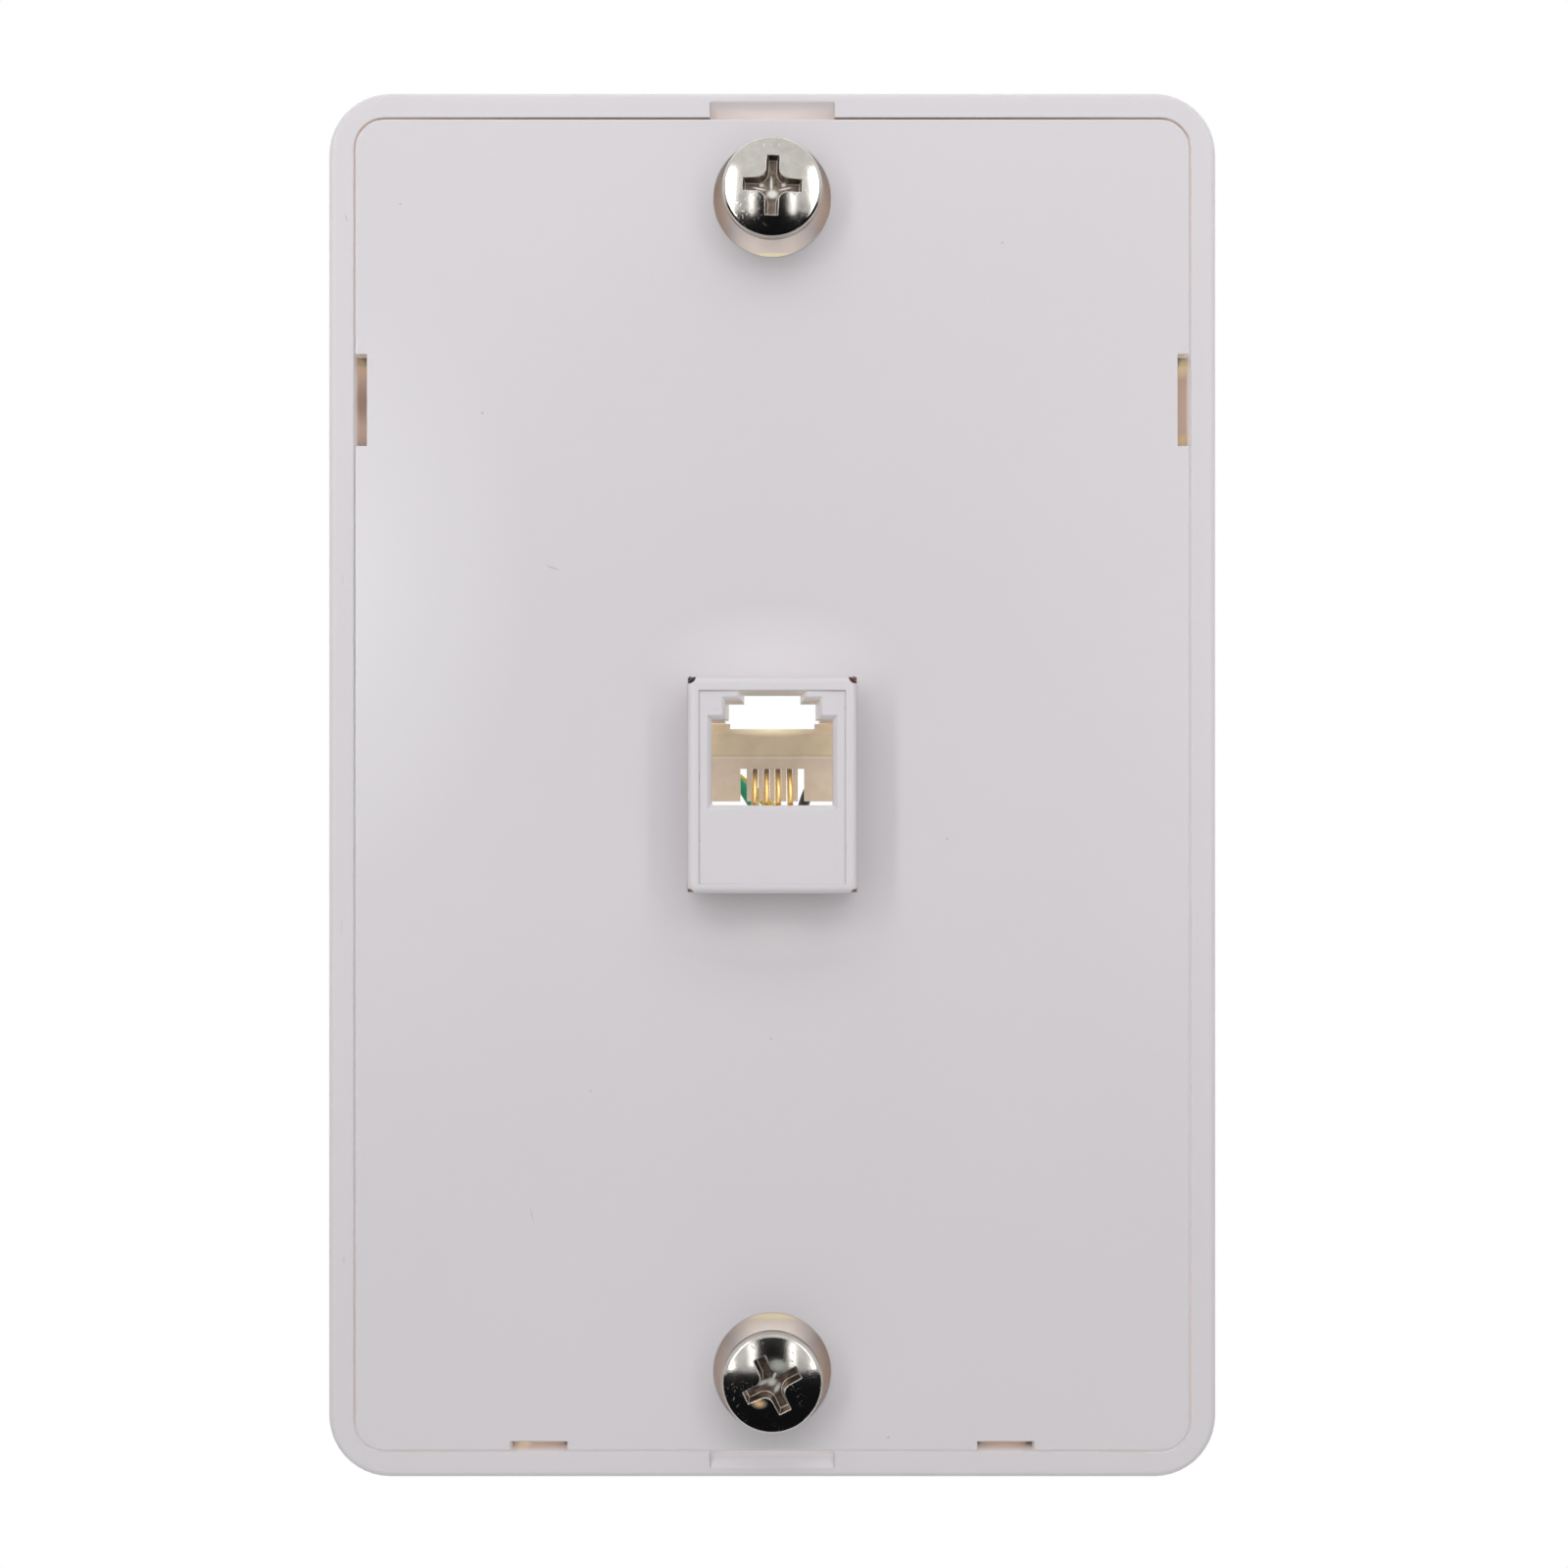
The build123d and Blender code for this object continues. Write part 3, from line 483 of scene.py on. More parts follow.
def white_plastic(name, roughness, wave, marks, front, painted_shade_and_light=(),
                  open_share=OPEN_SHARE, passed=1.0, plain_to=-1.0):
    """Moulded white plastic with painted warm shade and painted glow in gaps, a faint grain and a
    slow wave.

    passed scales the painted glow in gaps. In front of plain_to nothing counts as a gap.
    """
    plastic = settings().plastic
    material, tree, shader = new_material(name)
    vector = place_vector(tree)
    cloud = noise(tree, vector, CLOUD_SIZE)
    colour = patchy(tree, cloud, WIDE_SPAN, plastic.white, CLOUD_DULL)

    around = add(
        tree, "ShaderNodeAmbientOcclusion", [("Distance", plastic.painted_gap_reach)],
        samples=LOOK_SAMPLES).outputs["AO"]
    gap = spread(tree, around, open_share, CLOSED_SHARE)
    depth = separate(tree, vector)["Y"]
    gap = product(tree, gap, spread(tree, depth, plain_to, plain_to + PLAIN_FADE))
    sunk = spread(tree, around, LEVEL_SHARE, SUNK_SHARE)
    # Painted warm shade and painted glow in gaps, then painted shade and glow in the listed
    # spots, and painted shade and light on open faces
    colour = blend_colour(tree, gap, colour, plastic.painted_gap_shade)
    glow_tone = plastic.painted_gap_glow
    glow = product(tree, gap, plastic.painted_gap_glow_strength * passed)
    for centre, half_sizes, shade, light in PAINTED_GAP_SPOTS:
        spot = product(tree, spot_mask(tree, in_mm(centre), in_mm(half_sizes)), sunk)
        colour = blend_colour(tree, spot, colour, shade)
        glow_tone = blend_colour(tree, spot, glow_tone, shade)
        glow = blend_number(tree, spot, glow, light)
    for centre, half_sizes, shade, core in painted_shade_and_light:
        spot = spot_mask(tree, in_mm(centre), in_mm(half_sizes), core=core)
        colour = blend_colour(tree, spot, colour, shade)
        glow = product(tree, glow, scaled(tree, spot, 1.0, 0.0))

    haze = noise(tree, vector, HAZE_SIZE)
    slow = noise(tree, vector, WAVE_SIZE, detail=1.0)
    grain = noise(tree, vector, GRAIN_SIZE)
    normal = bump(tree, slow, wave, softened(tree, plastic.edge))
    feed(tree, shader, {
        "Base Color": marked(tree, colour, marks, front),
        "Emission Color": glow_tone,
        "Emission Strength": glow,
        "Roughness": scaled(tree, haze, roughness - HAZE_ROUGHNESS, roughness + HAZE_ROUGHNESS),
        "Normal": bump(tree, grain, GRAIN_DEPTH, normal),
    })
    shader.inputs["IOR"].default_value = PLASTIC_IOR
    return material


# Marks: place across and up, half length and half width in mm, turn in degrees, strength
PANEL_MARKS = [
    (-18.7, 18.5, 0.75, 0.12, 20, 0.30),
    (-20.5, -36.6, 0.80, 0.07, 78, 0.28),
    (-24.7, 31.7, 0.16, 0.13, 0, 0.40),
    (19.6, 46.2, 0.14, 0.14, 0, 0.35),
    (14.9, -4.6, 0.15, 0.12, 0, 0.38),
    (-15.5, -26.1, 0.14, 0.12, 0, 0.32),
    (-0.1, -21.6, 0.16, 0.10, 30, 0.36),
    (9.9, -55.6, 0.20, 0.12, 0, 0.36),
    (-31.7, 49.5, 0.16, 0.12, 0, 0.36),
]
RIM_MARKS = [
    (-36.3, 48.3, 0.45, 0.10, 70, 0.30),
    (-35.4, 53.1, 0.25, 0.14, 30, 0.40),
    (-36.6, 17.5, 0.10, 0.55, 0, 0.16),
    (-36.7, -12.0, 0.10, 0.80, 0, 0.14),
    (-36.5, -40.5, 0.12, 0.35, 0, 0.20),
]
JACK_MARKS = [
    (-6.04, 0.65, 0.035, 0.75, 0, 0.55),
    (-6.04, -4.6, 0.035, 0.22, 0, 0.55),
    (-6.04, -5.8, 0.035, 0.25, 0, 0.45),
    (6.15, -5.2, 0.03, 0.5, 0, 0.25),
    (-4.6, 6.3, 0.5, 0.05, 5, 0.25),
    (6.05, 6.4, 0.06, 0.10, 0, 0.45),
]


class SOCKET_OT_frame(Operator):
    """Give the plate frame its satin white plastic with rubbed spots on the rim"""
    bl_idname = "socket.finish_frame"
    bl_label = "Plate Frame"

    def execute(self, context):
        material = white_plastic(
            "frame_white", settings().plastic.satin, FRAME_WAVE, RIM_MARKS, panel_front)
        assign(material, "base_frame")
        return {"FINISHED"}


class SOCKET_OT_panel(Operator):
    """Give the cover panel its glossy white plastic with a few handling marks"""
    bl_idname = "socket.finish_panel"
    bl_label = "Cover Panel"

    def execute(self, context):
        material = white_plastic(
            "panel_white", settings().plastic.gloss, PANEL_WAVE, PANEL_MARKS, panel_front,
            PANEL_PAINTED_SHADE_AND_LIGHT)
        assign(material, "cover_panel")
        return {"FINISHED"}


class SOCKET_OT_jack(Operator):
    """Give the jack housing its satin white plastic with short dark dashes beside the mouth"""
    bl_idname = "socket.finish_jack"
    bl_label = "Jack Housing"

    def execute(self, context):
        material = white_plastic(
            "jack_white", settings().plastic.satin, JACK_WAVE, JACK_MARKS, jack_front,
            JACK_PAINTED_GAP_SHADE, JACK_OPEN_SHARE, JACK_PAINTED_GLOW, jack_front + JACK_PLAIN)
        assign(material, "jack_housing")
        return {"FINISHED"}


# Cream plastic

# Clouds of tone and fine pits
CREAM_PATCH_SIZE, CREAM_DULL = 1.6 * MM, 0.86
CREAM_PIT_SIZE, CREAM_PIT_DEPTH = 0.12 * MM, 0.004 * MM
CREAM_SMOOTH, CREAM_ROUGH, CREAM_SPAN = 0.5, 0.62, (0.2, 0.8)
# Painted glow, standing in for light through the plastic, of the wall above the comb, the comb,
# the comb's upper edge and the wall's top edge
BACKER_GLOW, COMB_GLOW, RIM_GLOW, CREST_GLOW = 0.19, 0.20, 0.12, 0.55
# How soft the change at the ledge is, and how far below it the edge's painted glow starts and
# ends
LEDGE_FADE = 0.03 * MM
RIM_START, RIM_END = 0.16 * MM, 0.02 * MM
# Middle depth and half sizes of the painted glow along the wall's top edge
CREST_DEPTH, CREST_HALF_SIZES = 0.2 * MM, (4.3 * MM, 3 * MM, 0.75 * MM)


class SOCKET_OT_insert(Operator):
    """Give the comb and the wire carrier their cream plastic, with a painted glow"""
    bl_idname = "socket.finish_insert"
    bl_label = "Comb and Carrier"

    def execute(self, context):
        plastic = settings().plastic
        material, tree, shader = new_material("insert_cream")
        vector = place_vector(tree)
        patch = noise(tree, vector, CREAM_PATCH_SIZE, detail=3.0)
        pits = noise(tree, vector, CREAM_PIT_SIZE, detail=3.0)

        # Painted glow by height: the wall above the comb, the comb, a painted line of light at
        # the ledge's rim and along the wall's top edge
        height = separate(tree, vector)["Z"]
        comb = spread(tree, height, plastic.ledge + LEDGE_FADE, plastic.ledge)
        glow = scaled(tree, comb, BACKER_GLOW, COMB_GLOW)
        rim = spread(
            tree, height, plastic.ledge - RIM_START, plastic.ledge - RIM_END, 0.0, RIM_GLOW)
        crest = spot_mask(
            tree, (0, CREST_DEPTH, plastic.wall_top), CREST_HALF_SIZES, core=0.0)
        edges = total(
            tree, product(tree, rim, comb), product(tree, crest, CREST_GLOW))
        feed(tree, shader, {
            "Base Color": patchy(tree, patch, MIDDLE_SPAN, plastic.cream, CREAM_DULL),
            "Roughness": spread(tree, patch, *CREAM_SPAN, CREAM_SMOOTH, CREAM_ROUGH),
            "Normal": bump(tree, pits, CREAM_PIT_DEPTH, softened(tree, plastic.edge)),
            "Emission Color": blend_colour(
                tree, comb, plastic.backer_painted_glow, plastic.comb_painted_glow),
            "Emission Strength": total(tree, glow, edges),
        })
        assign(material, "contact_comb", "contact_carrier")
        return {"FINISHED"}


# Metal

# Dull patches, fine marks and shallow dents of plated metal
PLATE_PATCH_SIZE = 1.3 * MM
PLATE_MARK_SIZE, PLATE_DENT_SIZE = 0.09 * MM, 0.8 * MM
PLATE_DULL, PLATE_EDGE = 0.85, 0.06 * MM
# Share of the given roughness on the smoothest and the roughest patches
PLATE_SMOOTH, PLATE_ROUGH = 0.8, 1.3
# How well the softened normal and the true one agree where an edge starts, and at its line
EDGE_START, EDGE_LINE = 0.99, 0.93


def plated_metal(name, colour, roughness, brush, edge=PLATE_EDGE, dull=PLATE_DULL):
    """Plated metal: fine turning or rolling marks, and slightly dull patches."""
    material, tree, shader = new_material(name)
    vector = place_vector(tree)
    patch = noise(tree, vector, PLATE_PATCH_SIZE, detail=4.0, roughness=0.6)
    fine = noise(tree, vector, PLATE_MARK_SIZE, detail=3.0, roughness=0.7)
    dents = noise(tree, vector, PLATE_DENT_SIZE)
    normal = bump(tree, fine, brush, softened(tree, edge))
    feed(tree, shader, {
        "Base Color": patchy(tree, patch, NARROW_SPAN, colour, dull),
        "Roughness": spread(
            tree, patch, *MIDDLE_SPAN, roughness * PLATE_SMOOTH, roughness * PLATE_ROUGH),
        "Normal": bump(tree, dents, brush * 2, normal),
    })
    shader.inputs["Metallic"].default_value = 1.0
    return material, tree, shader


def edge_share(tree):
    """1 along edges, where the softened normal leaves the true one."""
    soft = next(node for node in tree.nodes if node.bl_idname == "ShaderNodeBevel")
    flat = add(tree, "ShaderNodeNewGeometry")
    same = add(
        tree, "ShaderNodeVectorMath",
        [(0, soft.outputs["Normal"]), (1, flat.outputs["Normal"])], operation="DOT_PRODUCT")
    return spread(tree, same.outputs["Value"], EDGE_START, EDGE_LINE)


# Spring wires

# Number of wires, and distances in mm between them at the mouth and in the carrier
WIRE_COUNT, WIRE_PITCH, TAIL_PITCH = 4, 1.016, 1.9
# Height of the wires along the cavity's floor and depth of their bend at the mouth, in mm
WIRE_FLOOR, WIRE_FRONT = -3.6, -11.25
BEND_STEPS, ROUND_STEPS = 10, 20
# Fewest faces of a wire that has its tube
WIRE_LEAST_FACES = 400
WIRE_ROUGHNESS, WIRE_BRUSH, WIRE_EDGE, WIRE_DULL = 0.24, 0.00008 * MM, 0.01 * MM, 0.9
# Heights between which painted shade darkens the wires on their way into the comb
SHADE_START, SHADE_END = 0.35 * MM, 1.15 * MM
# Painted streaks of light along the wires: shift, depth, height, half width, half depth, half
# height and what every second one has more, all in mm, with their tilt in degrees
STREAK_SHIFT, STREAK_DEPTH, STREAK_HEIGHT = 0.05, -6.0, -0.35
STREAK_WIDTH, STREAK_REACH, STREAK_RISE, STREAK_MORE = 0.12, 30, 1.05, 0.15
# Core of the painted streaks, their glow, and a faint painted glow over the wires outside the
# painted shade
STREAK_TILT, STREAK_CORE, STREAK_GLOW, WIRE_GLOW = -2.0, 0.1, 1.25, 0.07


def wire_step(index):
    """Place of a wire in the row, counted from the row's middle."""
    return index - (WIRE_COUNT - 1) / 2


def wire_points(index):
    """Corners of one wire in mm, from its tail in the carrier to its tip in the comb."""
    tail_x = wire_step(index) * TAIL_PITCH
    wire_x = wire_step(index) * WIRE_PITCH
    return [
        (tail_x, 2.5, WIRE_FLOOR),
        (tail_x, 0.3, WIRE_FLOOR),
        (wire_x, -2.7, WIRE_FLOOR),
        (wire_x, WIRE_FRONT, WIRE_FLOOR),
        (wire_x, WIRE_FRONT, -1.85),
        (wire_x, 0.5, 1.38),
    ]


def wire_gold():
    """Bright gold with painted shade into the comb, a painted streak of light along each wire and
    a faint painted glow.
    """
    metal = settings().metal
    material, tree, shader = plated_metal(
        "wire_gold", metal.gold, WIRE_ROUGHNESS, WIRE_BRUSH, WIRE_EDGE, WIRE_DULL)
    shaded = spread(tree, separate(tree, place_vector(tree))["Z"], SHADE_START, SHADE_END)
    tone = shader.inputs["Base Color"].links[0].from_socket
    streaks = 0.0
    for index in range(WIRE_COUNT):
        place = (
            wire_step(index) * WIRE_PITCH * MM + STREAK_SHIFT * MM,
            STREAK_DEPTH * MM, STREAK_HEIGHT * MM)
        rise = STREAK_RISE + STREAK_MORE * (index % 2)
        half_sizes = in_mm((STREAK_WIDTH, STREAK_REACH, rise))
        streak = spot_mask(tree, place, half_sizes, STREAK_TILT, STREAK_CORE)
        streaks = larger(tree, streaks, streak)
    feed(tree, shader, {
        "Base Color": blend_colour(tree, shaded, tone, metal.gold_painted_shade),
        "Emission Color": blend_colour(tree, streaks, metal.gold, metal.gold_painted_streak),
        "Emission Strength": total(
            tree, product(tree, streaks, STREAK_GLOW), scaled(tree, shaded, WIRE_GLOW, 0.0)),
    })
    return material


def wire_tree(material):
    """Geometry nodes that turn a line of points into a bent round wire."""
    tree = bpy.data.node_groups.new("bent_wire", "GeometryNodeTree")
    for name, kind in (
            ("Geometry", "NodeSocketGeometry"),
            ("Wire radius", "NodeSocketFloat"),
            ("Bend radius", "NodeSocketFloat"),
            ("Bend steps", "NodeSocketInt"),
            ("Round steps", "NodeSocketInt")):
        tree.interface.new_socket(name=name, in_out="INPUT", socket_type=kind)
    tree.interface.new_socket(
        name="Geometry", in_out="OUTPUT", socket_type="NodeSocketGeometry")
    entry = add(tree, "NodeGroupInput").outputs
    line = add(tree, "GeometryNodeMeshToCurve", [("Mesh", entry["Geometry"])])
    bent = add(
        tree, "GeometryNodeFilletCurve",
        [("Curve", line.outputs["Curve"]), ("Radius", entry["Bend radius"]),
         ("Count", entry["Bend steps"])],
        mode="POLY")
    ring = add(
        tree, "GeometryNodeCurvePrimitiveCircle",
        [("Resolution", entry["Round steps"]), ("Radius", entry["Wire radius"])])
    tube = add(
        tree, "GeometryNodeCurveToMesh",
        [("Curve", bent.outputs["Curve"]), ("Profile Curve", ring.outputs["Curve"]),
         ("Fill Caps", True)])
    real = add(tree, "GeometryNodeRealizeInstances", [("Geometry", tube.outputs["Mesh"])])
    plated = add(
        tree, "GeometryNodeSetMaterial",
        [("Geometry", real.outputs["Geometry"]), ("Material", material)])
    add(tree, "NodeGroupOutput", [("Geometry", plated.outputs["Geometry"])])
    return tree


def set_inputs(modifier, values):
    """Set the named inputs of a geometry nodes modifier by their identifiers."""
    for item in modifier.node_group.interface.items_tree:
        if item.in_out == "INPUT" and item.name in values:
            modifier[item.identifier] = values[item.name]


def settle(made):
    """Turn an object with a geometry nodes modifier into a plain mesh, smooth on its sides."""
    context = bpy.context
    context.view_layer.update()
    mesh = bpy.data.meshes.new_from_object(
        made.evaluated_get(context.evaluated_depsgraph_get()))
    made.modifiers.clear()
    made.data = mesh
    mesh.name = made.name
    for face in mesh.polygons:
        face.use_smooth = len(face.vertices) == 4


class SOCKET_OT_wires(Operator):
    """Bend the four spring wires from their tails over the cavity's floor and back to the comb"""
    bl_idname = "socket.make_wires"
    bl_label = "Spring Wires"

    def execute(self, context):
        metal = settings().metal
        tree = wire_tree(wire_gold())
        for index in range(WIRE_COUNT):
            name = f"contact_wire_{index + 1}"
            mesh = bpy.data.meshes.new(f"{name}_line")
            line = [Vector(point) * MM for point in wire_points(index)]
            mesh.from_pydata(line, [(step, step + 1) for step in range(len(line) - 1)], [])
            wire = bpy.data.objects.new(f"wire_{index + 1}", mesh)
            context.scene.collection.objects.link(wire)
            modifier = wire.modifiers.new("bent_wire", "NODES")
            modifier.node_group = tree
            set_inputs(modifier, {
                "Wire radius": metal.wire_radius,
                "Bend radius": metal.wire_bend,
                "Bend steps": BEND_STEPS,
                "Round steps": ROUND_STEPS,
            })
            settle(wire)
            if len(wire.data.polygons) < WIRE_LEAST_FACES:
                raise RuntimeError(f"{name} came out without its tube")
            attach(wire, "root")
            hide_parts(name)
        return {"FINISHED"}


# Studs

STUD_ROUGHNESS, STUD_BRUSH, STUD_EDGE = 0.12, 0.0016 * MM, 0.12 * MM
# Depth of a mark's middle below the top of the crown, half of its reach in mm, and its core
STUD_MARK_DEPTH, STUD_MARK_REACH, STUD_MARK_CORE = 0.3 * MM, 1, 0.1
# Marks, partly rubbed and partly painted highlights and reflections: across and up from the
# stud's middle and half sizes in mm, turn in degrees, colour, painted glow
STUD_RUBS_AND_HIGHLIGHTS = {
    "stud_upper": [
        (-0.7, 3.4, 0.08, 0.22, 20, (0.95, 0.95, 0.95), 0.0),
        (-0.1, 3.45, 0.06, 0.12, 0, (0.95, 0.95, 0.95), 0.0),
        (0.6, 3.4, 0.08, 0.20, -25, (0.95, 0.95, 0.95), 0.0),
        (-1.35, -0.75, 0.22, 0.5, 10, (0.95, 0.94, 0.92), 0.0),
        (1.9, -0.7, 0.35, 0.35, 0, (0.92, 0.90, 0.88), 0.0),
    ],
    "stud_lower": [
        (0.45, 1.62, 1.20, 0.85, 15, (0.46, 0.49, 0.44), 0.16),
        (-1.08, -1.52, 0.78, 0.50, 0, (0.98, 0.55, 0.16), 0.55),
        (-3.2, -1.2, 0.07, 0.35, 15, (0.9, 0.9, 0.9), 0.0),
        (-2.9, -1.8, 0.07, 0.25, 25, (0.9, 0.9, 0.9), 0.0),
        (-1.6, 3.1, 0.5, 0.12, 30, (0.9, 0.9, 0.9), 0.0),
    ],
}
# Painted glints in the recess: across and up from the middle and half sizes in mm, turn in
# degrees
RECESS_PAINTED_GLINTS = {
    "stud_upper": [
        (0.0, -0.50, 0.62, 0.46, 0),
        (-0.08, 0.35, 0.14, 0.85, 0),
        (-1.1, -0.05, 0.75, 0.10, 12),
        (1.1, -0.05, 0.75, 0.10, -12),
        (-0.9, 0.25, 0.26, 0.20, 0),
        (0.95, 0.25, 0.26, 0.20, 0),
    ],
    "stud_lower": [
        (-0.05, 0.0, 0.55, 0.45, 0),
        (-0.75, -0.05, 0.65, 0.24, -25),
        (0.20, 0.55, 0.16, 0.60, 25),
        (0.42, -0.50, 0.60, 0.26, -60),
    ],
}
GLINT_REACH, GLINT_CORE = 1.2, 0.35
# Fine grit, which comes in patches, and how much of it is rubbed through
GRIT_SIZE, GRIT_PATCH_SIZE, GRIT_SHARE = 0.17 * MM, 1.5 * MM, 0.5
GRIT_SPAN, GRIT_PATCH_SPAN = (0.58, 0.66), (0.42, 0.60)
STAIN_SIZE = 0.45 * MM
# How far below the crown the recess starts and is full
RECESS_START, RECESS_FULL = 0.10 * MM, 0.22 * MM
# Its mask fades out between these radii, and between these shares of its depth
RECESS_OUTER, RECESS_INNER = 2.9 * MM, 2.6 * MM
RECESS_BELOW, RECESS_ABOVE = 1.2, 1.1
# Painted glow of the edge highlights and of the glints
EDGE_GLOW, GLINT_GLOW = 0.26, 0.34
RECESS_ROUGHNESS, RUBBED_ROUGHNESS, EDGE_ROUGHNESS = 0.42, 0.62, 0.5


def recess_mask(tree, centre):
    """1 inside a stud's cross recess, worked out from the depth below its domed crown."""
    metal = settings().metal
    parts = separate(tree, place_vector(tree, centre))
    across = arithmetic(tree, "POWER", parts["X"], 2.0)
    up = arithmetic(tree, "POWER", parts["Z"], 2.0)
    out = total(tree, across, up)
    crown = product(tree, out, 0.5 / metal.crown_radius)
    below = arithmetic(tree, "SUBTRACT", parts["Y"], crown)
    sunk = product(
        tree, spread(tree, below, RECESS_START, RECESS_FULL),
        spread(tree, out, RECESS_OUTER ** 2, RECESS_INNER ** 2))
    return product(tree, sunk, spread(
        tree, parts["Y"], metal.recess_depth * RECESS_BELOW, metal.recess_depth * RECESS_ABOVE))


def stud_nickel(name):
    """Nickel of one stud, with marks that are partly rubbed and partly painted highlights and
    reflections, two with a painted glow, grit, painted glints in its stained recess and painted
    highlights along its edges.
    """
    metal = settings().metal
    material, tree, shader = plated_metal(
        name, metal.nickel, STUD_ROUGHNESS, STUD_BRUSH, STUD_EDGE)
    low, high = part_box(name)
    centre = ((low.x + high.x) / 2, low.y, (low.z + high.z) / 2)
    tone = shader.inputs["Base Color"].links[0].from_socket
    rubbed = 0.0
    glow = 0.0
    for x, z, half_length, half_width, turn, shade, light in STUD_RUBS_AND_HIGHLIGHTS[name]:
        place = (centre[0] + x * MM, centre[1] + STUD_MARK_DEPTH, centre[2] + z * MM)
        half_sizes = in_mm((half_length, STUD_MARK_REACH, half_width))
        mark = spot_mask(tree, place, half_sizes, turn, STUD_MARK_CORE)
        tone = blend_colour(tree, mark, tone, shade)
        rubbed = larger(tree, rubbed, mark)
        glow = larger(tree, glow, product(tree, mark, light))
    glow_tone = tone
    vector = place_vector(tree)
    speck = noise(tree, vector, GRIT_SIZE, detail=1.0)
    patch = noise(tree, vector, GRIT_PATCH_SIZE)
    grit = product(
        tree, spread(tree, speck, *GRIT_SPAN), spread(tree, patch, *GRIT_PATCH_SPAN))
    rubbed = larger(tree, rubbed, product(tree, grit, GRIT_SHARE))

    sunk = recess_mask(tree, centre)
    # Painted highlight along every edge, lightened and glowing
    edge = edge_share(tree)
    glow = product(tree, glow, scaled(tree, sunk, 1.0, 0.0))
    glow = total(tree, glow, product(tree, edge, EDGE_GLOW))
    stain = noise(tree, vector, STAIN_SIZE, detail=3.0, roughness=0.6)
    brown = blend_colour(
        tree, spread(tree, stain, *NARROW_SPAN), metal.recess, metal.recess_light)
    tone = blend_colour(tree, sunk, tone, brown)
    # Painted glints in the recess, lightened and glowing
    for x, z, half_length, half_width, turn in RECESS_PAINTED_GLINTS[name]:
        place = (centre[0] + x * MM, centre[1] + metal.recess_depth, centre[2] + z * MM)
        half_sizes = in_mm((half_length, GLINT_REACH, half_width))
        glint = product(tree, spot_mask(tree, place, half_sizes, turn, GLINT_CORE), sunk)
        tone = blend_colour(tree, glint, tone, metal.painted_highlight)
        glow = larger(tree, glow, product(tree, glint, GLINT_GLOW))

    roughness = larger(
        tree, scaled(tree, sunk, STUD_ROUGHNESS, RECESS_ROUGHNESS),
        product(tree, rubbed, RUBBED_ROUGHNESS))
    feed(tree, shader, {
        "Base Color": blend_colour(tree, edge, tone, metal.painted_highlight),
        "Roughness": larger(tree, roughness, product(tree, edge, EDGE_ROUGHNESS)),
        "Emission Color": glow_tone,
        "Emission Strength": glow,
    })
    return material


class SOCKET_OT_studs(Operator):
    """Give the studs their nickel plating"""
    bl_idname = "socket.make_studs"
    bl_label = "Studs"

    def execute(self, context):
        for name in STUD_RUBS_AND_HIGHLIGHTS:
            assign(stud_nickel(name), name)
        return {"FINISHED"}


# Nuts, terminals and leads

# Material, finish, roughness, depth of its fine marks, and how the pieces' names begin
HARDWARE = [
    ("zinc_plate", "zinc", 0.34, 0.0020 * MM, ("stud_nut_", "terminal_washer_")),
    ("terminal_brass", "brass", 0.25, 0.0010 * MM, ("terminal_screw_",)),
    ("lug_tin", "tin", 0.30, 0.0015 * MM, ("lug_",)),
]
# Clouds of tone and fine ripples of the leads' sheaths
SHEATH_PATCH_SIZE, SHEATH_DULL = 2.5 * MM, 0.8
SHEATH_RIPPLE_SIZE, SHEATH_RIPPLE_DEPTH = 0.2 * MM, 0.002 * MM
SHEATH_SMOOTH, SHEATH_ROUGH = 0.34, 0.46


class SOCKET_OT_hardware(Operator):
    """Give the nuts, washers, terminal screws and lugs their metal"""
    bl_idname = "socket.finish_hardware"
    bl_label = "Nuts and Terminals"

    def execute(self, context):
        metal = settings().metal
        for name, finish, roughness, brush, beginnings in HARDWARE:
            material = plated_metal(name, getattr(metal, finish), roughness, brush)[0]
            assign(material, *(node for node in nodes if node.startswith(beginnings)))
        return {"FINISHED"}


class SOCKET_OT_leads(Operator):
    """Give each lead its coloured sheath"""
    bl_idname = "socket.finish_leads"
    bl_label = "Leads"

    def execute(self, context):
        sheath = settings().sheath
        for shade in ("black", "red", "green", "yellow"):
            material, tree, shader = new_material(f"sheath_{shade}")
            vector = place_vector(tree)
            patch = noise(tree, vector, SHEATH_PATCH_SIZE, detail=3.0)
            ripple = noise(tree, vector, SHEATH_RIPPLE_SIZE)
            feed(tree, shader, {
                "Base Color": patchy(
                    tree, patch, MIDDLE_SPAN, getattr(sheath, shade), SHEATH_DULL),
                "Roughness": spread(tree, patch, *MIDDLE_SPAN, SHEATH_SMOOTH, SHEATH_ROUGH),
                "Normal": bump(tree, ripple, SHEATH_RIPPLE_DEPTH),
            })
            assign(material, f"lead_{shade}")
        return {"FINISHED"}


# Stage

# All in metres: distance, heights, widths and heights of the upright strip lamps
STRIP_DISTANCE = 0.55
OUTER_HEIGHT, OUTER_SIZE = 0.13, (0.05, 0.40)
INNER_HEIGHT, INNER_SIZE = 0.04, (0.04, 0.16)
OVERHEAD_PLACE, OVERHEAD_SIZE = (0, -0.36, 0.34), (0.6, 0.35)
